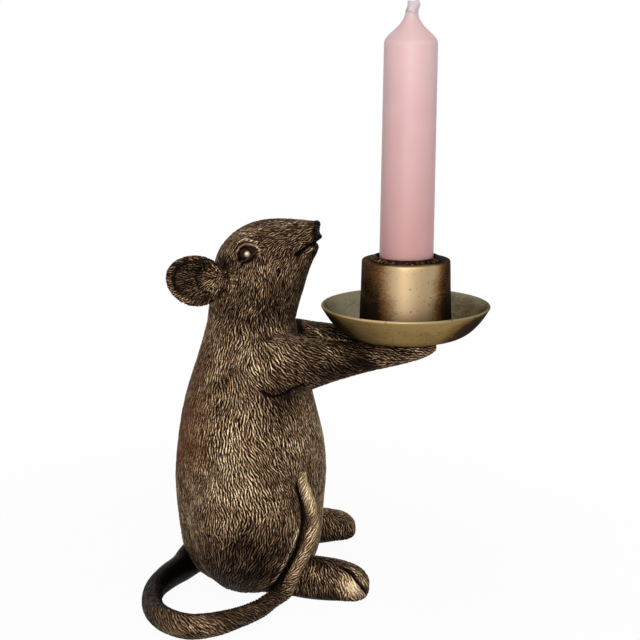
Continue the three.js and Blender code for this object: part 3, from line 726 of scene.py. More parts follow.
def model_ears(points, lay, gilt):
    """Fur that runs out from each ear's root, gold along the lower half of its rim, and painted shade
    inside the dish and along the rim by the root.
    """
    local = head_frame(points)
    for side, middle in EAR_MIDDLE.items():
        offset = local - np.array(middle)
        plane = offset[:, [0, 2]] / np.array(EAR_REACH)
        reach = np.linalg.norm(plane, axis=1)
        on_ear = np.clip((1.3 - reach) / 0.15, 0, 1) * (abs(offset[:, 1]) < 7)
        ear_root = np.array(EAR_ROOT) * np.array([1, SIDES[side], 1])
        spoke = unit(offset - ear_root) @ np.array(HEAD_TURN).T
        lay = unit(lay * (1 - on_ear)[:, None] + spoke * on_ear[:, None])
        forward_up = 0.75 * plane[:, 0] + 0.65 * plane[:, 1]
        lower = np.clip(0.35 - 0.8 * forward_up / np.maximum(reach, 0.1), 0, 1)
        inner = np.clip((0.86 - reach) / 0.1, 0, 1) * np.clip(0.9 - plane[:, 0], 0, 1)
        rim = bell(reach - 0.98, 0.2)
        forward = np.clip(plane[:, 0] / 0.4, 0, 1)
        shaded_root = forward * np.clip((abs(plane[:, 1]) - 0.3) / 0.3, 0, 1) * bell(reach - 1.1, 0.3)
        # Painted shade inside the dish and along the rim by the root
        gilt = gilt + on_ear * (0.12 * rim * lower - 0.05 - 0.2 * inner - 0.3 * shaded_root)
    return lay, gilt


def gold_with_painted_light(points):
    """Amount of gold paint at each point, 0.5 where it is even, raised for painted highlights and
    lowered for painted shade.
    """
    amount = np.full(len(points), 0.5)
    for x, z, reach, strength in GOLD_AND_PAINTED_LIGHT:
        amount += 0.5 * strength * bell(np.hypot(points[:, 0] - x, points[:, 2] - z), reach * 1.3)
    return np.clip(amount, 0, 1)


def paint_relief(mesh, height, gilt, tone):
    """Stores what the paint follows: height of the carving, amount of gold and the lock's own tone."""
    relief = mesh.attributes.new("relief", "FLOAT_VECTOR", "POINT")
    relief.data.foreach_set("vector", np.stack([height, gilt, tone], 1).astype(np.float32).ravel())


def unwrap(piece):
    """Lays the skin out flat before it is carved, on the map that the piece keeps."""
    bpy.context.view_layer.objects.active = piece
    piece.select_set(True)
    bpy.ops.object.mode_set(mode="EDIT")
    bpy.ops.mesh.select_all(action="SELECT")
    bpy.ops.uv.smart_project(angle_limit=math.radians(66), island_margin=0.001)
    bpy.ops.object.mode_set(mode="OBJECT")
    piece.select_set(False)
    piece.data.uv_layers[0].name = "OFBake"


def in_head(point):
    """A place in the head's own frame as one in the holder's, in millimetres."""
    return HEAD_PIVOT + HEAD_TURN @ Vector(point)


def face_clay():
    """Pellets of clay for the nose, the lips and the lids over the beads: place and radius."""
    pellets = [(in_head(row[:3]), row[3]) for row in LIP_CLAY]
    over_bead = EYE_RADIUS + 0.3
    half_long, half_tall, row_of_pellets = 3.3, 2.55, 48
    for side in SIDES.values():
        middle = Vector((EYE[0], side * EYE[1], EYE[2]))
        for turn in np.linspace(0, 2 * math.pi, row_of_pellets, endpoint=False):
            long, tall = half_long * math.cos(turn), half_tall * math.sin(turn)
            x = long * math.cos(EYE_SLANT) - tall * math.sin(EYE_SLANT)
            z = long * math.sin(EYE_SLANT) + tall * math.cos(EYE_SLANT)
            out = math.sqrt(max(over_bead**2 - x * x - z * z, 0.5))
            # Thicker above than below, with an outer row that runs out into the cheek
            thick = 0.6 + 0.15 * math.sin(turn)
            pellets.append((in_head(middle + Vector((x, side * out, z))), thick))
            outer = Vector((x * 1.28, side * (out - 1.5), z * 1.28))
            pellets.append((in_head(middle + outer), thick + 0.4))
    return pellets


def grow_together(piece, names, pellets, swell, voxel, rounds):
    """Joins CAD nodes and pellets, grown by the swell, to a piece under one even skin."""
    clay = bmesh.new()
    for name in names:
        clay.from_mesh(frame["nodes"][name].data)
    bmesh.ops.remove_doubles(clay, verts=clay.verts, dist=1e-6)
    bmesh.ops.recalc_face_normals(clay, faces=clay.faces)
    clay.normal_update()
    for vertex in clay.verts:
        vertex.co += vertex.normal * swell * MM
    for place, radius in pellets:
        where = Matrix.Translation(place * MM)
        bmesh.ops.create_icosphere(clay, subdivisions=2, radius=(radius + swell) * MM, matrix=where)
    clay.from_mesh(piece.data)
    clay.to_mesh(piece.data)
    clay.free()
    piece.data = evaluated(
        piece,
        ("REMESH", {"mode": "VOXEL", "voxel_size": voxel}),
        ("SMOOTH", {"factor": 0.5, "iterations": rounds}),
    )


def figure_blank(cell):
    """The cast pieces, with their dowels, grown together into one even skin."""
    swell = 0.25
    coarse_cell = 0.8 * MM
    piece = bpy.data.objects.new("mouse", bpy.data.meshes.new("mouse_skin"))
    bpy.context.scene.collection.objects.link(piece)
    # The torso and limbs blend into each other first, and the ears and the face stay crisper
    grow_together(piece, CAST_NODES + CORE_NODES, [], swell, coarse_cell, 12)
    grow_together(piece, EAR_NODES, face_clay(), swell, cell, 8)
    piece.data.shade_smooth()
    move_to(piece.data, positions(piece.data) - normals(piece.data) * swell)
    return piece


def carve_figure(mesh, settings):
    """Models the face and limbs on the skin, then carves the fur and notes where the paint goes, with
    painted shade in the creases.
    """
    rng = np.random.default_rng(settings.seed)
    points, normal = positions(mesh), normals(mesh)
    face, bare_face, gilt_face, face_crease_shade, lids = model_face(points)
    limbs, polished, gilt_limbs, crease_shade = model_limbs(points)
    crease_shade = np.maximum(crease_shade, face_crease_shade)
    polished = np.maximum(polished, lids)
    bare = np.maximum(bare_face, polished * 0.7)
    lay, gilt = model_ears(points, planar_lay(points), gold_with_painted_light(points) + gilt_face + gilt_limbs)
    length, width, ridge, depth = (
        getattr(settings, name) / MM for name in ("stroke_length", "stroke_width", "ridge", "depth")
    )
    # The fur is finer on the head than on the body
    fine = 1 - 0.25 * np.clip((points[:, 2] - NECK_HEIGHT) / 12, 0, 1)
    height, tone = carve_fur(points, normal, lay, length * fine, width, ridge * fine, rng)
    fur = (height - 0.5) * depth * fine * (1 - 0.8 * bare)
    points = points + normal * (face + limbs + fur)[:, None]
    smooth = np.maximum(0.5 * bare_face, polished)
    # Painted shade: the creases and grooves take the dark paint of the recesses
    height = np.maximum(height * (1 - 0.6 * bare_face), smooth) * (1 - crease_shade)
    move_to(mesh, points)
    paint_relief(mesh, height, np.clip(gilt, 0, 1), tone)


def tube(path, sides):
    """A closed tube along rows of x, y, z and radius: its points, its faces and each row's heading."""
    centre, radius = path[:, :3], path[:, 3]
    ahead = unit(np.gradient(centre, axis=0))
    side = unit(np.cross(ahead[0], [0, 0, 1] if abs(ahead[0][2]) < 0.9 else [0, 1, 0]))
    angles = np.arange(sides) * 2 * math.pi / sides
    rings = []
    for i in range(len(path)):
        side = unit(side - ahead[i] * (side @ ahead[i]))
        over = np.cross(side, ahead[i])
        ring = np.outer(np.cos(angles), side) + np.outer(np.sin(angles), over)
        rings.append(centre[i] + radius[i] * ring)
    points = np.concatenate([*rings, [centre[0]], [centre[-1] + ahead[-1] * radius[-1] * 0.8]])
    first, last = len(points) - 2, len(points) - 1
    faces = []
    for row in range(len(path) - 1):
        for i in range(sides):
            here, there = row * sides + i, row * sides + (i + 1) % sides
            faces.append((here, there, there + sides, here + sides))
    end = (len(path) - 1) * sides
    for i in range(sides):
        faces.append((first, (i + 1) % sides, i))
        faces.append((last, end + i, end + (i + 1) % sides))
    return points, faces, ahead


def lathe(name, profile, body, centre=(0, 0, 0), sides=128, wobble=0.0):
    """A turned piece from rows of radius, height and wear, closed on its axis at both ends."""
    rows = np.array(profile, float)
    angles = np.arange(sides) * 2 * math.pi / sides
    points, wear, rings = [], [], []
    for radius, height, worn in rows:
        if radius < 1e-6:
            rings.append([len(points)] * sides)
            points.append((0, 0, height))
            wear.append(worn)
            continue
        rings.append(list(range(len(points), len(points) + sides)))
        ripple = wobble * (np.sin(2 * angles + height * 0.3) + 0.6 * np.sin(5 * angles + 1.3))
        around = radius + ripple
        points.extend(zip(around * np.cos(angles), around * np.sin(angles), [height] * sides))
        wear.extend([worn] * sides)
    faces = []
    for low, high in itertools.pairwise(rings):
        for i in range(sides):
            j = (i + 1) % sides
            corners = list(dict.fromkeys((low[i], low[j], high[j], high[i])))
            if len(corners) > 2:
                faces.append(tuple(corners))
    piece = mesh_object(name, np.array(points) + np.array(centre), faces, body)
    worn = piece.data.attributes.new("wear", "FLOAT", "POINT")
    worn.data.foreach_set("value", np.array(wear, np.float32))
    return piece


def paint_side_shade(piece, axis, amount, plate):
    """Paints shade at the two sides of a turned piece as a dark film, by lowering its wear there."""
    points = positions(piece.data)
    worn = piece.data.attributes["wear"].data
    wear = np.empty(len(points), np.float32)
    worn.foreach_get("value", wear)
    out = np.maximum(np.hypot(points[:, 0] - axis, points[:, 1]), 1)
    side = (points[:, 0] - axis) / out
    if plate:
        # Painted shade from half way out on the underside, at both ends, and a thin one over the upper
        # side that grows towards +x
        under = np.clip(-4 * normals(piece.data)[:, 2], 0, 1)
        below = under * np.clip((abs(side + 0.06) - 0.5) / 0.4, 0, 1)
        film = below + 0.3 * (1 - under) * np.clip(side + 0.5, 0, 1)
    else:
        # Painted shade on the outside of the cup at both ends along x; the bright band between them sits
        # a little towards +x
        outside = out > CUP_WELL + 0.2
        film = outside * np.clip((abs(side - 0.08) - 0.28) / 0.45, 0, 1)
    worn.foreach_set("value", (wear - amount * film).astype(np.float32))


def rounded(corners, steps=5):
    """Rounds the corners of a turned profile, given as rows of radius, height, rounding and wear."""
    out = []
    last = len(corners) - 1
    for i, (r, z, rounding, wear) in enumerate(corners):
        here = np.array([r, z], float)
        if i in (0, last) or rounding == 0:
            out.append((r, z, wear))
            continue
        back, ahead = np.array(corners[i - 1][:2]) - here, np.array(corners[i + 1][:2]) - here
        start = here + back / np.linalg.norm(back) * min(rounding, np.linalg.norm(back) / 2)
        end = here + ahead / np.linalg.norm(ahead) * min(rounding, np.linalg.norm(ahead) / 2)
        for t in np.linspace(0, 1, steps):
            out.append((*((1 - t) ** 2 * start + 2 * t * (1 - t) * here + t * t * end), wear))
    return out


def split_runs(profile, longest):
    """A profile with its long straight runs divided, so that no step is longer than that."""
    out = [profile[0]]
    for row in profile[1:]:
        before = np.array(out[-1])
        here = np.array(row)
        parts = max(1, math.ceil(np.linalg.norm((here - before)[:2]) / longest))
        out.extend(tuple(before + (here - before) * k / parts) for k in range(1, parts + 1))
    return out


def new_material(name):
    """A material with only its shader, and the tree to build on."""
    material = bpy.data.materials.new(name)
    material.use_nodes = True
    tree = material.node_tree
    tree.nodes.clear()
    return material, tree


def add(tree, kind, inputs=None, stops=None, **settings):
    """Adds a node with its settings, fills or links its inputs and gives its outputs."""
    node = tree.nodes.new(kind)
    for name, value in settings.items():
        setattr(node, name, value)
    # A new ramp has two stops, which take the first two that are given, and then gets the others
    for i, (place, colour) in enumerate(stops or []):
        element = node.color_ramp.elements[i] if i < 2 else node.color_ramp.elements.new(place)
        element.position = place
        element.color = colour
    for socket, value in (inputs or {}).items():
        if isinstance(value, bpy.types.NodeSocket):
            tree.links.new(value, node.inputs[socket])
        else:
            node.inputs[socket].default_value = value
    return node.outputs


def per_mm(size_mm):
    """Texture scale, in metres, at which one cell of a pattern is this many millimetres."""
    return 1 / (size_mm * MM)


def bronzed_resin(settings):
    """Cast resin painted dark brown, then bronze, then rubbed with gold over the carving."""
    material, tree = new_material("dry-brushed bronze paint")
    place = add(tree, "ShaderNodeTexCoord")["Object"]
    relief = add(tree, "ShaderNodeAttribute", attribute_name="relief")["Vector"]
    parts = add(tree, "ShaderNodeSeparateXYZ", {0: relief})
    # Uneven hand work over 9 mm, which leaves some locks bare
    patches = add(tree, "ShaderNodeTexNoise", {"Vector": place, "Scale": per_mm(9), "Detail": 3})["Fac"]
    # Grain of the rubbed paint, 0.5 mm
    grain = add(tree, "ShaderNodeTexNoise", {"Vector": place, "Scale": per_mm(0.5), "Detail": 2})["Fac"]
    lock = add(tree, "ShaderNodeMath", {0: parts[2], 1: 0.3, 2: -0.25}, operation="MULTIPLY_ADD")[0]
    hand = add(tree, "ShaderNodeMath", {0: patches, 1: 0.7, 2: lock}, operation="MULTIPLY_ADD")[0]
    rubbed = add(tree, "ShaderNodeMath", {0: parts[1], 1: 0.85, 2: hand}, operation="MULTIPLY_ADD")[0]
    worn = add(tree, "ShaderNodeMath", {0: grain, 1: 0.25, 2: rubbed}, operation="MULTIPLY_ADD")[0]
    amount = add(tree, "ShaderNodeMath", {0: worn, 1: parts[0]}, operation="MULTIPLY")[0]
    painted = add(
        tree,
        "ShaderNodeValToRGB",
        {"Fac": amount},
        stops=[
            (0.12, settings.soot),
            (1, settings.pale_gold),
            (0.3, settings.umber),
            (0.55, settings.bronze),
            (0.79, settings.gold),
        ],
    )["Color"]
    # The back was handled bare, so its red-brown coat shows from 13 mm behind the middle, on the
    # right side that the photograph shows, and fades out over the backbone
    where = add(tree, "ShaderNodeSeparateXYZ", {0: place})
    behind = add(
        tree,
        "ShaderNodeMapRange",
        {"Value": where[0], "From Min": -13 * MM, "From Max": -28 * MM, "To Max": 0.7},
    )["Result"]
    above = add(
        tree, "ShaderNodeMapRange", {"Value": where[2], "From Min": 38 * MM, "From Max": 60 * MM}
    )["Result"]
    below = add(
        tree, "ShaderNodeMapRange", {"Value": where[2], "From Min": 112 * MM, "From Max": 100 * MM}
    )["Result"]
    beside = add(
        tree, "ShaderNodeMapRange", {"Value": where[1], "From Min": 14 * MM, "From Max": 2 * MM}
    )["Result"]
    between = add(tree, "ShaderNodeMath", {0: above, 1: below}, operation="MULTIPLY")[0]
    patch = add(tree, "ShaderNodeMath", {0: behind, 1: between}, operation="MULTIPLY")[0]
    bare = add(tree, "ShaderNodeMath", {0: patch, 1: beside}, operation="MULTIPLY")[0]
    colour = add(
        tree, "ShaderNodeMix", {"Factor": bare, "A": painted, "B": settings.rust}, data_type="RGBA"
    )["Result"]
    rough = add(
        tree, "ShaderNodeMapRange", {"Value": parts[0], "To Min": 0.6, "To Max": 0.42}
    )["Result"]
    bump = add(
        tree, "ShaderNodeBump", {"Height": grain, "Strength": 0.25, "Distance": 0.1 * MM}
    )["Normal"]
    shader = add(
        tree,
        "ShaderNodeBsdfPrincipled",
        {
            "Base Color": colour,
            "Roughness": rough,
            "Metallic": 0.7,
            "Specular IOR Level": 0.03,
            "Normal": bump,
        },
    )
    add(tree, "ShaderNodeOutputMaterial", {"Surface": shader[0]})
    return material


def antique_brass(name, metals, colours, film, cloudy, flecked):
    """Turned brass under a brown film, brushed round its axis and worn bright at the edges; on the cup
    and plate the film is mostly painted shade at their sides.
    """
    # The film hides more of the metal as its number grows, and the other two make it uneven
    brass, dust, brown, patina_and_shade = colours
    material, tree = new_material(name)
    place = add(tree, "ShaderNodeTexCoord")["Object"]
    # The wear attribute holds the worn edges, and on the cup and plate also painted shade as lowered
    # wear
    wear = add(tree, "ShaderNodeAttribute", attribute_name="wear")["Fac"]
    # Brush lines run round the piece: 0.6 mm apart in height and long along the turn
    stretched = add(tree, "ShaderNodeMapping", {"Vector": place, "Scale": (0.12, 0.12, 1)})[0]
    brushed = add(
        tree, "ShaderNodeTexNoise", {"Vector": stretched, "Scale": per_mm(0.6), "Detail": 4}
    )["Fac"]
    clouds = add(tree, "ShaderNodeTexNoise", {"Vector": place, "Scale": per_mm(9), "Detail": 4})["Fac"]
    speck = add(tree, "ShaderNodeTexNoise", {"Vector": place, "Scale": per_mm(0.8), "Detail": 3})["Fac"]
    blend = add(tree, "ShaderNodeMath", {0: brushed, 1: 0.25}, operation="MULTIPLY")[0]
    mottled = add(tree, "ShaderNodeMath", {0: clouds, 1: cloudy, 2: blend}, operation="MULTIPLY_ADD")[0]
    fleck = add(tree, "ShaderNodeMath", {0: speck, 1: flecked, 2: mottled}, operation="MULTIPLY_ADD")[0]
    bright = add(tree, "ShaderNodeMath", {0: wear, 1: 0.5, 2: fleck}, operation="MULTIPLY_ADD")[0]
    shown = add(
        tree, "ShaderNodeMapRange", {"Value": bright, "From Min": film, "From Max": film + 0.6}
    )["Result"]
    # Dust and lacquer dull the faces that look up
    upward = add(tree, "ShaderNodeSeparateXYZ", {0: add(tree, "ShaderNodeNewGeometry")["Normal"]})[2]
    dusty = add(
        tree, "ShaderNodeMapRange", {"Value": upward, "From Min": 0.05, "From Max": 0.35}
    )["Result"]
    metal = add(
        tree, "ShaderNodeMix", {"Factor": dusty, "A": brass, "B": dust}, data_type="RGBA"
    )["Result"]
    # Brown specks, 1.2 mm across, where the lacquer has gone
    spots = add(tree, "ShaderNodeTexNoise", {"Vector": place, "Scale": per_mm(1.2), "Detail": 2})["Fac"]
    stain = add(
        tree, "ShaderNodeMapRange", {"Value": spots, "From Min": 0.66, "From Max": 0.74, "To Max": 0.8}
    )["Result"]
    worn = add(
        tree, "ShaderNodeMapRange", {"Value": wear, "From Min": 0.6, "From Max": 1, "To Max": 0.7}
    )["Result"]
    polished = add(
        tree, "ShaderNodeMix", {"Factor": worn, "A": metal, "B": metals.worn_edge}, data_type="RGBA"
    )["Result"]
    tarnished = add(
        tree,
        "ShaderNodeMix",
        {"Factor": stain, "A": polished, "B": metals.speck},
        data_type="RGBA",
    )["Result"]
    # The film goes from nearly black over brown to bare metal; where the wear was lowered at the sides,
    # it is painted shade
    filmed = add(tree, "ShaderNodeValToRGB", {"Fac": shown}, stops=[(0, patina_and_shade), (0.5, brown)])["Color"]
    open_metal = add(
        tree, "ShaderNodeMapRange", {"Value": shown, "From Min": 0.4, "From Max": 1}
    )["Result"]
    colour = add(
        tree, "ShaderNodeMix", {"Factor": open_metal, "A": filmed, "B": tarnished}, data_type="RGBA"
    )["Result"]
    rough = add(tree, "ShaderNodeMapRange", {"Value": shown, "To Min": 0.55, "To Max": 0.42})["Result"]
    bump = add(
        tree, "ShaderNodeBump", {"Height": brushed, "Strength": 0.2, "Distance": 0.05 * MM}
    )["Normal"]
    shader = add(
        tree,
        "ShaderNodeBsdfPrincipled",
        {
            "Base Color": colour,
            "Roughness": rough,
            "Metallic": 0.7,
            "Specular IOR Level": 0.05,
            "Specular Tint": metals.glint,
            "Normal": bump,
        },
    )
    add(tree, "ShaderNodeOutputMaterial", {"Surface": shader[0]})
    return material


def candle_wax(settings, low, high):
    """Poured paraffin dyed pink, paler towards its top, undyed at its tip and satin from its mould."""
    material, tree = new_material("dyed paraffin wax")
    place = add(tree, "ShaderNodeTexCoord")["Object"]
    height = add(tree, "ShaderNodeSeparateXYZ", {0: place})[2]
    share = add(
        tree, "ShaderNodeMapRange", {"Value": height, "From Min": low * MM, "From Max": high * MM}
    )["Result"]
    # Soft clouds in the wax, 14 mm across
    clouds = add(tree, "ShaderNodeTexNoise", {"Vector": place, "Scale": per_mm(14), "Detail": 2})["Fac"]
    mixed = add(tree, "ShaderNodeMath", {0: clouds, 1: 0.25, 2: share}, operation="MULTIPLY_ADD")[0]
    dyed = add(
        tree,
        "ShaderNodeMix",
        {"Factor": mixed, "A": settings.foot, "B": settings.top},
        data_type="RGBA",
    )["Result"]
    dipped = add(
        tree,
        "ShaderNodeMapRange",
        {"Value": height, "From Min": (high - 3) * MM, "From Max": (high + 3) * MM},
    )["Result"]
    colour = add(
        tree, "ShaderNodeMix", {"Factor": dipped, "A": dyed, "B": settings.tip}, data_type="RGBA"
    )["Result"]
    # Faint pitting of the mould, 0.7 mm
    pits = add(tree, "ShaderNodeTexNoise", {"Vector": place, "Scale": per_mm(0.7)})["Fac"]
    bump = add(
        tree, "ShaderNodeBump", {"Height": pits, "Strength": 0.06, "Distance": 0.05 * MM}
    )["Normal"]
    shader = add(
        tree,
        "ShaderNodeBsdfPrincipled",
        {
            "Base Color": colour,
            "Roughness": 0.42,
            "IOR": 1.44,
            "Subsurface Weight": 0.7,
            "Subsurface Radius": (1, 0.5, 0.4),
            "Subsurface Scale": 5 * MM,
            "Normal": bump,
        },
    )
    add(tree, "ShaderNodeOutputMaterial", {"Surface": shader[0]})
    return material


def eye_enamel(settings, spot):
    """Dark bronze lacquer over a bead, with a painted highlight in pale gold near where it bulges most.
    """
    material, tree = new_material("bronze gloss lacquer")
    place = add(tree, "ShaderNodeTexCoord")["Object"]
    away = add(tree, "ShaderNodeVectorMath", {0: place, 1: spot * MM}, operation="DISTANCE")["Value"]
    # The painted highlight fades out 1.5 mm from its middle
    rubbed = add(
        tree, "ShaderNodeMapRange", {"Value": away, "From Min": 1.5 * MM, "From Max": 0.3 * MM}
    )["Result"]
    colour = add(
        tree,
        "ShaderNodeMix",
        {"Factor": rubbed, "A": settings.eye, "B": settings.eye_painted_highlight},
        data_type="RGBA",
    )["Result"]
    shader = add(
        tree,
        "ShaderNodeBsdfPrincipled",
        {"Base Color": colour, "Roughness": 0.3, "Metallic": 0.6, "Specular IOR Level": 0.2},
    )
    add(tree, "ShaderNodeOutputMaterial", {"Surface": shader[0]})
    return material


def drawn_steel(settings):
    """Bright drawn steel of the dowels, the pins and the screw, faintly mottled over 0.4 mm."""
    material, tree = new_material("bright drawn steel")
    place = add(tree, "ShaderNodeTexCoord")["Object"]
    mottle = add(tree, "ShaderNodeTexNoise", {"Vector": place, "Scale": per_mm(0.4), "Detail": 3})["Fac"]
    colour = add(
        tree,
        "ShaderNodeMix",
        {"Factor": mottle, "A": settings.steel_dark, "B": settings.steel_light},
        data_type="RGBA",
    )["Result"]
    rough = add(tree, "ShaderNodeMapRange", {"Value": mottle, "To Min": 0.25, "To Max": 0.42})["Result"]
    shader = add(
        tree, "ShaderNodeBsdfPrincipled", {"Base Color": colour, "Roughness": rough, "Metallic": 1.0}
    )
    add(tree, "ShaderNodeOutputMaterial", {"Surface": shader[0]})
    return material


def pressed_felt(settings):
    """Pressed wool felt: matt, with matted tufts of fibre about 0.6 mm across."""
    material, tree = new_material("pressed wool felt")
    place = add(tree, "ShaderNodeTexCoord")["Object"]
    fibre = add(
        tree,
        "ShaderNodeTexNoise",
        {"Vector": place, "Scale": per_mm(0.6), "Detail": 6, "Distortion": 2},
    )["Fac"]
    colour = add(
        tree,
        "ShaderNodeMix",
        {"Factor": fibre, "A": settings.felt_dark, "B": settings.felt_light},
        data_type="RGBA",
    )["Result"]
    bump = add(
        tree, "ShaderNodeBump", {"Height": fibre, "Strength": 0.6, "Distance": 0.3 * MM}
    )["Normal"]
    shader = add(
        tree,
        "ShaderNodeBsdfPrincipled",
        {"Base Color": colour, "Roughness": 0.95, "Normal": bump, "Sheen Weight": 0.3},
    )
    add(tree, "ShaderNodeOutputMaterial", {"Surface": shader[0]})
    return material


def seen_in_view(tree):
    """A socket that is 1 for what the camera sees, also by reflection or through glass, or else 0."""
    rays = add(tree, "ShaderNodeLightPath")
    direct = {0: rays["Is Camera Ray"], 1: rays["Is Glossy Ray"]}
    seen = add(tree, "ShaderNodeMath", direct, operation="MAXIMUM")[0]
    through = {0: seen, 1: rays["Is Transmission Ray"]}
    return add(tree, "ShaderNodeMath", through, operation="MAXIMUM")[0]


def finish_with(piece, material):
    """Gives a piece one material."""
    piece.data.materials.clear()
    piece.data.materials.append(material)


class HOLDER_OT_figure(bpy.types.Operator):
    """Grow the cast pieces into one carved and gilded mouse"""

    bl_idname = "holder.figure"
    bl_label = "Carved mouse"

    def execute(self, context):
        settings = context.scene.holder_figure
        piece = figure_blank(settings.cell)
        unwrap(piece)
        carve_figure(piece.data, settings)
        finish_with(piece, bronzed_resin(settings))
        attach(piece, "holder")
        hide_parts(*CAST_NODES, *EAR_NODES)
        return {"FINISHED"}


class HOLDER_OT_tail(bpy.types.Operator):
    """Sweep the tail along its path and carve it"""

    bl_idname = "holder.tail"
    bl_label = "Tail"

    def execute(self, context):
        settings = context.scene.holder_figure
        clearance = 0.3
        sides, per_span = 84, 40
        rows = smooth_rows(TAIL_PATH, per_span)
        rows[:, 2] = np.maximum(rows[:, 2], rows[:, 3] + clearance)
        points, faces, ahead = tube(rows, sides)
        piece = mesh_object("mouse_tail", points, faces, "holder")
        points, normal = positions(piece.data), normals(piece.data)
        row_of = np.minimum(np.arange(len(points)) // sides, len(rows) - 1)
        # The hair parts along the top on the table, and along the outer side where the tail stands up
        upright = np.clip((rows[row_of, 2] - 8) / 8, 0, 1)[:, None]
        parting = unit(np.array([0, 0, 1.0]) * (1 - upright) + np.array([-1, -0.6, 0]) * upright)
        away = (parting * normal).sum(1, keepdims=True) * normal - parting
        lay = unit(ahead[row_of] + 0.8 * unit(away))
        rng = np.random.default_rng(settings.seed + 1)
        lock_width, pitch, wander = 0.9, 0.95, 0.07
        spacing = np.full(len(points), pitch)
        height, tone = carve_fur(points, normal, lay, 3.4 * spacing, lock_width, spacing, rng, wander)
        # The root, by the rump, is carved less deeply, and has no gold: painted shade where the body
        # shades it
        root_x, root_y, root_reach = -31, -16, 34
        shaded_root = bell(np.hypot(points[:, 0] - root_x, points[:, 1] - root_y), root_reach)
        depth = 0.34 - 0.2 * shaded_root
        move_to(piece.data, points + normal * ((height - 0.5) * depth)[:, None])
        # Stations of the path that are past the loop, and those near the tip
        station = row_of / per_span
        past_loop = np.clip((station - 11.5) / 2, 0, 1)
        standing = np.clip((station - 13) / 2, 0, 1)
        tip = np.clip((station - 17) / 4, 0, 1)
        # The outer run of the loop, from 45 mm beside the mouse's middle
        front = bell(points[:, 0] + 18, 26) * np.clip((-points[:, 1] - 45) / 12, 0, 1)
        # Painted shade at the root
        gilt = 0.3 + 0.4 * past_loop + 0.3 * front * (1 - past_loop) - 1.3 * shaded_root
        floor = 0.3 * standing + 0.25 * tip
        paint_relief(piece.data, floor + (1 - floor) * height, np.clip(gilt, -0.4, 1), tone)
        finish_with(piece, bpy.data.materials["dry-brushed bronze paint"])
        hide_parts("tail")
        return {"FINISHED"}


class HOLDER_OT_eyes(bpy.types.Operator):
    """Set a gloss bead in each eye socket"""

    bl_idname = "holder.eyes"
    bl_label = "Eyes"

    def execute(self, context):
        for side in SIDES:
            node = f"{side}_eye"
            low, high = low_mm(node), high_mm(node)
            middle = (low + high) / 2
            radius = (high.x - low.x) / 2
            angles = np.linspace(0, math.pi * 0.8, 40)
            dome = [(radius * math.sin(a), -radius * math.cos(a), 0) for a in angles]
            stem = [(0.5, radius * 0.99, 0), (0, radius, 0)]
            piece = lathe(f"mouse_{node}", [*dome, *stem], "holder", sides=64)
            outward = HEAD_TURN @ Vector((0, SIDES[side], 0))
            turn = Vector((0, 0, -1)).rotation_difference(outward).to_matrix()
            move_to(piece.data, positions(piece.data) @ np.array(turn).T + np.array(middle))
            # The painted highlight lies a little forward of and below the bead's outermost point
            spot = middle + outward * radius + HEAD_TURN @ Vector((0.9, 0, -0.2))
            finish_with(piece, eye_enamel(context.scene.holder_figure, spot))
            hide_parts(node)
        return {"FINISHED"}


class HOLDER_OT_drip_plate(bpy.types.Operator):
    """Turn the flared drip plate"""

    bl_idname = "holder.drip_plate"
    bl_label = "Drip plate"

    def execute(self, context):
        metals = context.scene.holder_metal
        low, high = low_mm("drip_plate"), high_mm("drip_plate")
        flat = CUP_FOOT + 0.3
        edge = (high.x - low.x) / 2
        depth, flare = 12.2, 2.1
        run = edge - flat
        below, above = [], []
        for t in np.linspace(0, 1, 28):
            slope = math.atan2(flare * depth * t ** (flare - 1), run)
            radius, height = flat + run * t, depth * t**flare
            wall = PLATE_WALL * (1 - 0.4 * t)
            wear = 0.9 * t**14
            below.append((radius, height, wear - 0.1))
            inner = (radius - wall * math.sin(slope), height + wall * math.cos(slope))
            above.insert(0, (*inner, wear * 0.6 - 0.02))
        lip_a, lip_b = np.array(below[-1][:2]), np.array(above[0][:2])
        middle, half = (lip_a + lip_b) / 2, (lip_a - lip_b) / 2
        outward = np.array([-half[1], half[0]])
        lip = [
            (*(middle + half * math.cos(a) + outward * math.sin(a) * 0.8), 1)
            for a in np.linspace(0, math.pi, 9)[1:-1]
        ]
        profile = [(0, 0, 0), *below, *lip, *above, (0, PLATE_WALL, 0)]
        centre = (PLATE_AXIS, 0, PLATE_SEAT)
        profile = split_runs(profile, 2.5)
        piece = lathe("drip_plate_turned", profile, "holder", centre, 160, 0.05)
        # Painted shade as dark film at the plate's ends and over its upper side
        paint_side_shade(piece, PLATE_AXIS, 1.3, True)
        colours = (metals.plate, metals.dust, metals.brown, metals.patina_and_shade)
        brass = antique_brass("brushed antique brass", metals, colours, -0.1, 0.4, 0.35)
        finish_with(piece, brass)
        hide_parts("drip_plate")
        return {"FINISHED"}


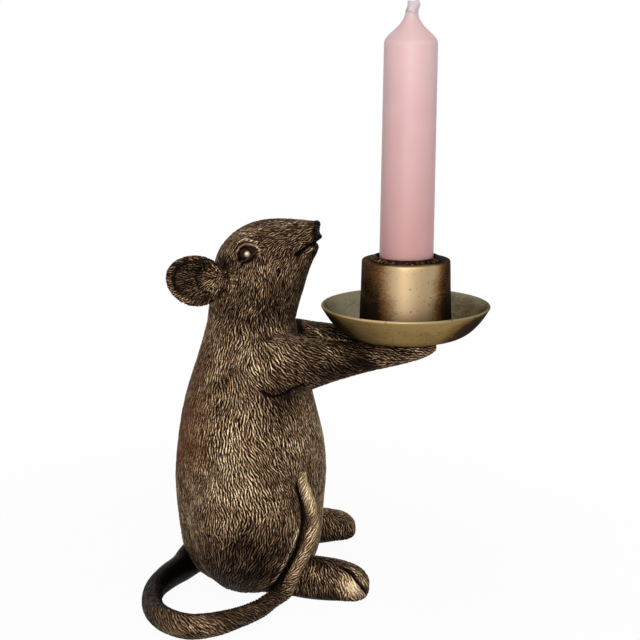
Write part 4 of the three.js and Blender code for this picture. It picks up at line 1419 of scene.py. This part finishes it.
class HOLDER_OT_candle_cup(bpy.types.Operator):
    """Turn the candle cup"""

    bl_idname = "holder.candle_cup"
    bl_label = "Candle cup"

    def execute(self, context):
        metals = context.scene.holder_metal
        height = CUP_RIM - CUP_SEAT
        top = CUP_FOOT - 1.4
        depth = 15.45
        # Radius, height, rounding and wear at each corner
        corners = [
            (0, 0, 0, 0),
            (CUP_FOOT, 0, 0.25, 0.1),
            (CUP_FOOT - 0.35, 1, 0.8, 0.1),
            (CUP_FOOT - 0.5, 2.6, 1, 0),
            (top, height - 0.1, 0.9, 0.7),
            (top - 0.6, height, 0.4, 0.6),
            (CUP_WELL, height, 0.3, 0),
            (CUP_WELL, height - depth, 0.2, 0),
            (0, height - depth, 0, 0),
        ]
        centre = (PLATE_AXIS, 0, CUP_SEAT)
        profile = split_runs(rounded(corners), 1.5)
        piece = lathe("candle_cup_turned", profile, "holder", centre, 144, 0.03)
        # Painted shade as dark film at the cup's two sides
        paint_side_shade(piece, PLATE_AXIS, 1.4, False)
        colours = (metals.brass, metals.brass, metals.cup_film_and_shade, metals.patina_and_shade)
        # The dark sides of this rubbed brass are painted shade, and the bright middle between them is
        # bare metal
        rubbed = antique_brass("brushed antique brass, rubbed", metals, colours, 0.05, 0.6, 0.35)
        finish_with(piece, rubbed)
        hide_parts("candle_cup")
        return {"FINISHED"}


class HOLDER_OT_candle_insert(bpy.types.Operator):
    """Turn the thin insert that hangs on the cup's rim"""

    bl_idname = "holder.candle_insert"
    bl_label = "Candle insert"

    def execute(self, context):
        metals = context.scene.holder_metal
        low, high = low_mm("candle_insert"), high_mm("candle_insert")
        lip = (high.x - low.x) / 2
        foot = low.z - CUP_RIM
        rise = high.z - CUP_RIM
        bore, wall = 11.75, 1.1
        # Radius, height, rounding and wear at each corner
        corners = [
            (0, foot, 0, 0),
            (bore + wall, foot, 0.4, 0),
            (bore + wall, 0, 0.1, 0),
            (lip, 0, 0.15, 0.3),
            (lip, 0.5, 0.2, 0.5),
            (bore + wall, rise, 0.5, 0.4),
            (bore, rise - 0.3, 0.3, 0),
            (bore, foot + wall, 0.5, 0),
            (0, foot + wall, 0, 0),
        ]
        centre = (PLATE_AXIS, 0, CUP_RIM)
        profile = split_runs(rounded(corners), 1)
        piece = lathe("candle_insert_turned", profile, "insert", centre, 128, 0.06)
        colours = (metals.insert, metals.insert, metals.insert_brown, metals.soot)
        dark = antique_brass("dark patinated brass", metals, colours, 1.5, 1, 1.6)
        finish_with(piece, dark)
        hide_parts("candle_insert")
        return {"FINISHED"}


class HOLDER_OT_candle(bpy.types.Operator):
    """Pour the candle and set its waxed wick"""

    bl_idname = "holder.candle"
    bl_label = "Candle"

    def execute(self, context):
        low, high = low_mm("candle"), high_mm("candle")
        foot_radius = 11
        length = high.z - low.z
        shoulder = length - 11.2
        # The candle leans a little, as one does that stands loose in its cup
        lean = math.radians(0.5)
        # Radius, height, rounding and wear at each corner
        corners = [
            (0, 0, 0, 0),
            (foot_radius, 0, 0.6, 0),
            (10.6, shoulder, 1.6, 0),
            (9.4, shoulder + 1.8, 1.2, 0),
            (4.7, shoulder + 6.1, 2.4, 0),
            (2.85, shoulder + 9, 1.2, 0),
            (2.5, length, 0.2, 0),
            (0, length, 0, 0),
        ]
        wax = candle_wax(context.scene.holder_candle, low.z, high.z)
        turn = np.array(Matrix.Rotation(lean, 3, "Y"))
        foot = np.array([PLATE_AXIS, 0, low.z + 0.1])
        profile = split_runs(rounded(corners, 9), 1.2)
        candle = lathe("candle_poured", profile, "candle", sides=112)
        move_to(candle.data, positions(candle.data) @ turn.T + foot)
        finish_with(candle, wax)
        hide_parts("candle")
        stub = [
            (0, 0, -3, 1.2),
            (0, 0, -0.5, 2.2),
            (0.1, 0, 0.1, 2.5),
            (0.3, 0, 1.2, 2.4),
            (0.6, 0, 2.4, 2.35),
            (0.9, 0, 3.5, 2.45),
            (1, 0, 4, 2.1),
            (1, 0, 4.1, 1.2),
            (1, 0, 4.15, 0.2),
        ]
        points, faces, _ = tube(smooth_rows(stub, 8), 48)
        # Uneven wax on the dipped wick
        middle = [0.5, 0]
        angle = np.arctan2(points[:, 1], points[:, 0] - middle[0])
        swell = 1 + 0.06 * np.sin(3 * angle + points[:, 2])
        swell += 0.04 * np.sin(7 * angle - 2 * points[:, 2])
        points[:, :2] = (points[:, :2] - middle) * swell[:, None] + middle
        points = (points + [0, 0, length]) @ turn.T + foot
        wick = mesh_object("wick_waxed", points, faces, "candle")
        # The wick was dipped in the same wax
        finish_with(wick, wax)
        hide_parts("wick")
        return {"FINISHED"}


class HOLDER_OT_fittings(bpy.types.Operator):
    """Finish the steel fittings and the felt pads"""

    bl_idname = "holder.fittings"
    bl_label = "Fittings"

    def execute(self, context):
        slots = {part["node"]: part["material_slot"] for part in frame["record"]["subparts"]}
        settings = context.scene.holder_fitting
        finishes = {"steel": drawn_steel(settings), "felt": pressed_felt(settings)}
        for name, node in frame["nodes"].items():
            if slots[name] in finishes:
                finish_with(node, finishes[slots[name]])
        return {"FINISHED"}


class HOLDER_OT_stage(bpy.types.Operator):
    """Set up the floor, the lamps, the surroundings and the camera"""

    bl_idname = "holder.stage"
    bl_label = "Stage"

    def execute(self, context):
        settings = context.scene.holder_stage
        self.floor(context, settings)
        self.surroundings(context, settings)
        for name, (place, size, share) in LAMPS.items():
            self.lamp(context, name, place, size, settings.key * share)
        data = bpy.data.cameras.new("camera")
        data.lens = settings.lens
        camera = bpy.data.objects.new("camera", data)
        camera.location = CAMERA_PLACE
        camera.rotation_euler = (math.radians(90) - settings.pitch, 0, 0)
        context.scene.collection.objects.link(camera)
        context.scene.camera = camera
        context.scene.view_settings.view_transform = "Standard"
        return {"FINISHED"}

    def floor(self, context, settings):
        """A pale floor that keeps the shadow and goes over into white far away."""
        radius, sides = 6, 64
        angles = np.arange(sides) * 2 * math.pi / sides
        ring = [(radius * math.cos(a), radius * math.sin(a), 0) for a in angles]
        mesh = bpy.data.meshes.new("floor")
        mesh.from_pydata(ring, [], [tuple(range(sides))])
        floor = bpy.data.objects.new("floor", mesh)
        context.scene.collection.objects.link(floor)
        material, tree = new_material("white paper sweep")
        place = add(tree, "ShaderNodeTexCoord")["Object"]
        far = add(tree, "ShaderNodeVectorMath", {0: place}, operation="LENGTH")["Value"]
        faded = add(
            tree,
            "ShaderNodeMapRange",
            {"Value": far, "From Min": 0.1, "From Max": 0.3, "To Min": 0.96, "To Max": 1},
        )["Result"]
        share = add(tree, "ShaderNodeMath", {0: seen_in_view(tree), 1: faded}, operation="MULTIPLY")
        paper = add(tree, "ShaderNodeBsdfDiffuse", {"Color": settings.paper})
        white = add(tree, "ShaderNodeEmission", {"Color": (1, 1, 1, 1), "Strength": 1.0})
        mixed = add(tree, "ShaderNodeMixShader", {0: share[0], 1: paper[0], 2: white[0]})
        add(tree, "ShaderNodeOutputMaterial", {"Surface": mixed[0]})
        floor.data.materials.append(material)

    def surroundings(self, context, settings):
        """Even light from all sides, which the camera and mirrors see as white."""
        world = bpy.data.worlds.new("surroundings")
        world.use_nodes = True
        context.scene.world = world
        tree = world.node_tree
        tree.nodes.clear()
        even = add(tree, "ShaderNodeBackground", {"Color": (1, 1, 1, 1), "Strength": settings.ambient})
        white = add(tree, "ShaderNodeBackground", {"Color": (1, 1, 1, 1), "Strength": 1.0})
        mixed = add(tree, "ShaderNodeMixShader", {0: seen_in_view(tree), 1: even[0], 2: white[0]})
        add(tree, "ShaderNodeOutputWorld", {"Surface": mixed[0]})

    def lamp(self, context, name, place, size, power):
        """A soft square lamp that faces the middle of the object."""
        data = bpy.data.lights.new(name, "AREA")
        data.size = size
        data.energy = power
        lamp = bpy.data.objects.new(name, data)
        lamp.location = place
        middle = (CAD_BOX[0] + CAD_BOX[1]) / 2
        lamp.rotation_euler = (middle - Vector(place)).to_track_quat("-Z", "Y").to_euler()
        context.scene.collection.objects.link(lamp)


OPERATORS = (
    HOLDER_OT_figure,
    HOLDER_OT_tail,
    HOLDER_OT_eyes,
    HOLDER_OT_drip_plate,
    HOLDER_OT_candle_cup,
    HOLDER_OT_candle_insert,
    HOLDER_OT_candle,
    HOLDER_OT_fittings,
    HOLDER_OT_stage,
)
SETTINGS = {
    "holder_figure": FigureSettings,
    "holder_metal": MetalSettings,
    "holder_candle": CandleSettings,
    "holder_fitting": FittingSettings,
    "holder_stage": StageSettings,
}


class HOLDER_PT_panel(bpy.types.Panel):
    """Lists the pieces of the candle holder and their settings"""

    bl_idname = "HOLDER_PT_panel"
    bl_label = "Candle holder"
    bl_space_type = "VIEW_3D"
    bl_region_type = "UI"
    bl_category = "Candle holder"

    def draw(self, context):
        for operator in OPERATORS:
            self.layout.operator(operator.bl_idname)
        for name, group in SETTINGS.items():
            box = self.layout.box()
            for setting in group.__annotations__:
                box.prop(getattr(context.scene, name), setting)


def register():
    """Registers the settings, the operators and the panel."""
    for name, group in SETTINGS.items():
        bpy.utils.register_class(group)
        setattr(bpy.types.Scene, name, bpy.props.PointerProperty(type=group))
    for operator in OPERATORS:
        bpy.utils.register_class(operator)
    bpy.utils.register_class(HOLDER_PT_panel)


def unregister():
    """Takes them away again."""
    bpy.utils.unregister_class(HOLDER_PT_panel)
    for operator in reversed(OPERATORS):
        bpy.utils.unregister_class(operator)
    for name, group in SETTINGS.items():
        delattr(bpy.types.Scene, name)
        bpy.utils.unregister_class(group)


def main():
    """Builds the object, piece by piece."""
    register()
    for operator in OPERATORS:
        group, name = operator.bl_idname.split(".")
        getattr(getattr(bpy.ops, group), name)()


if __name__ == "__main__":
    main()
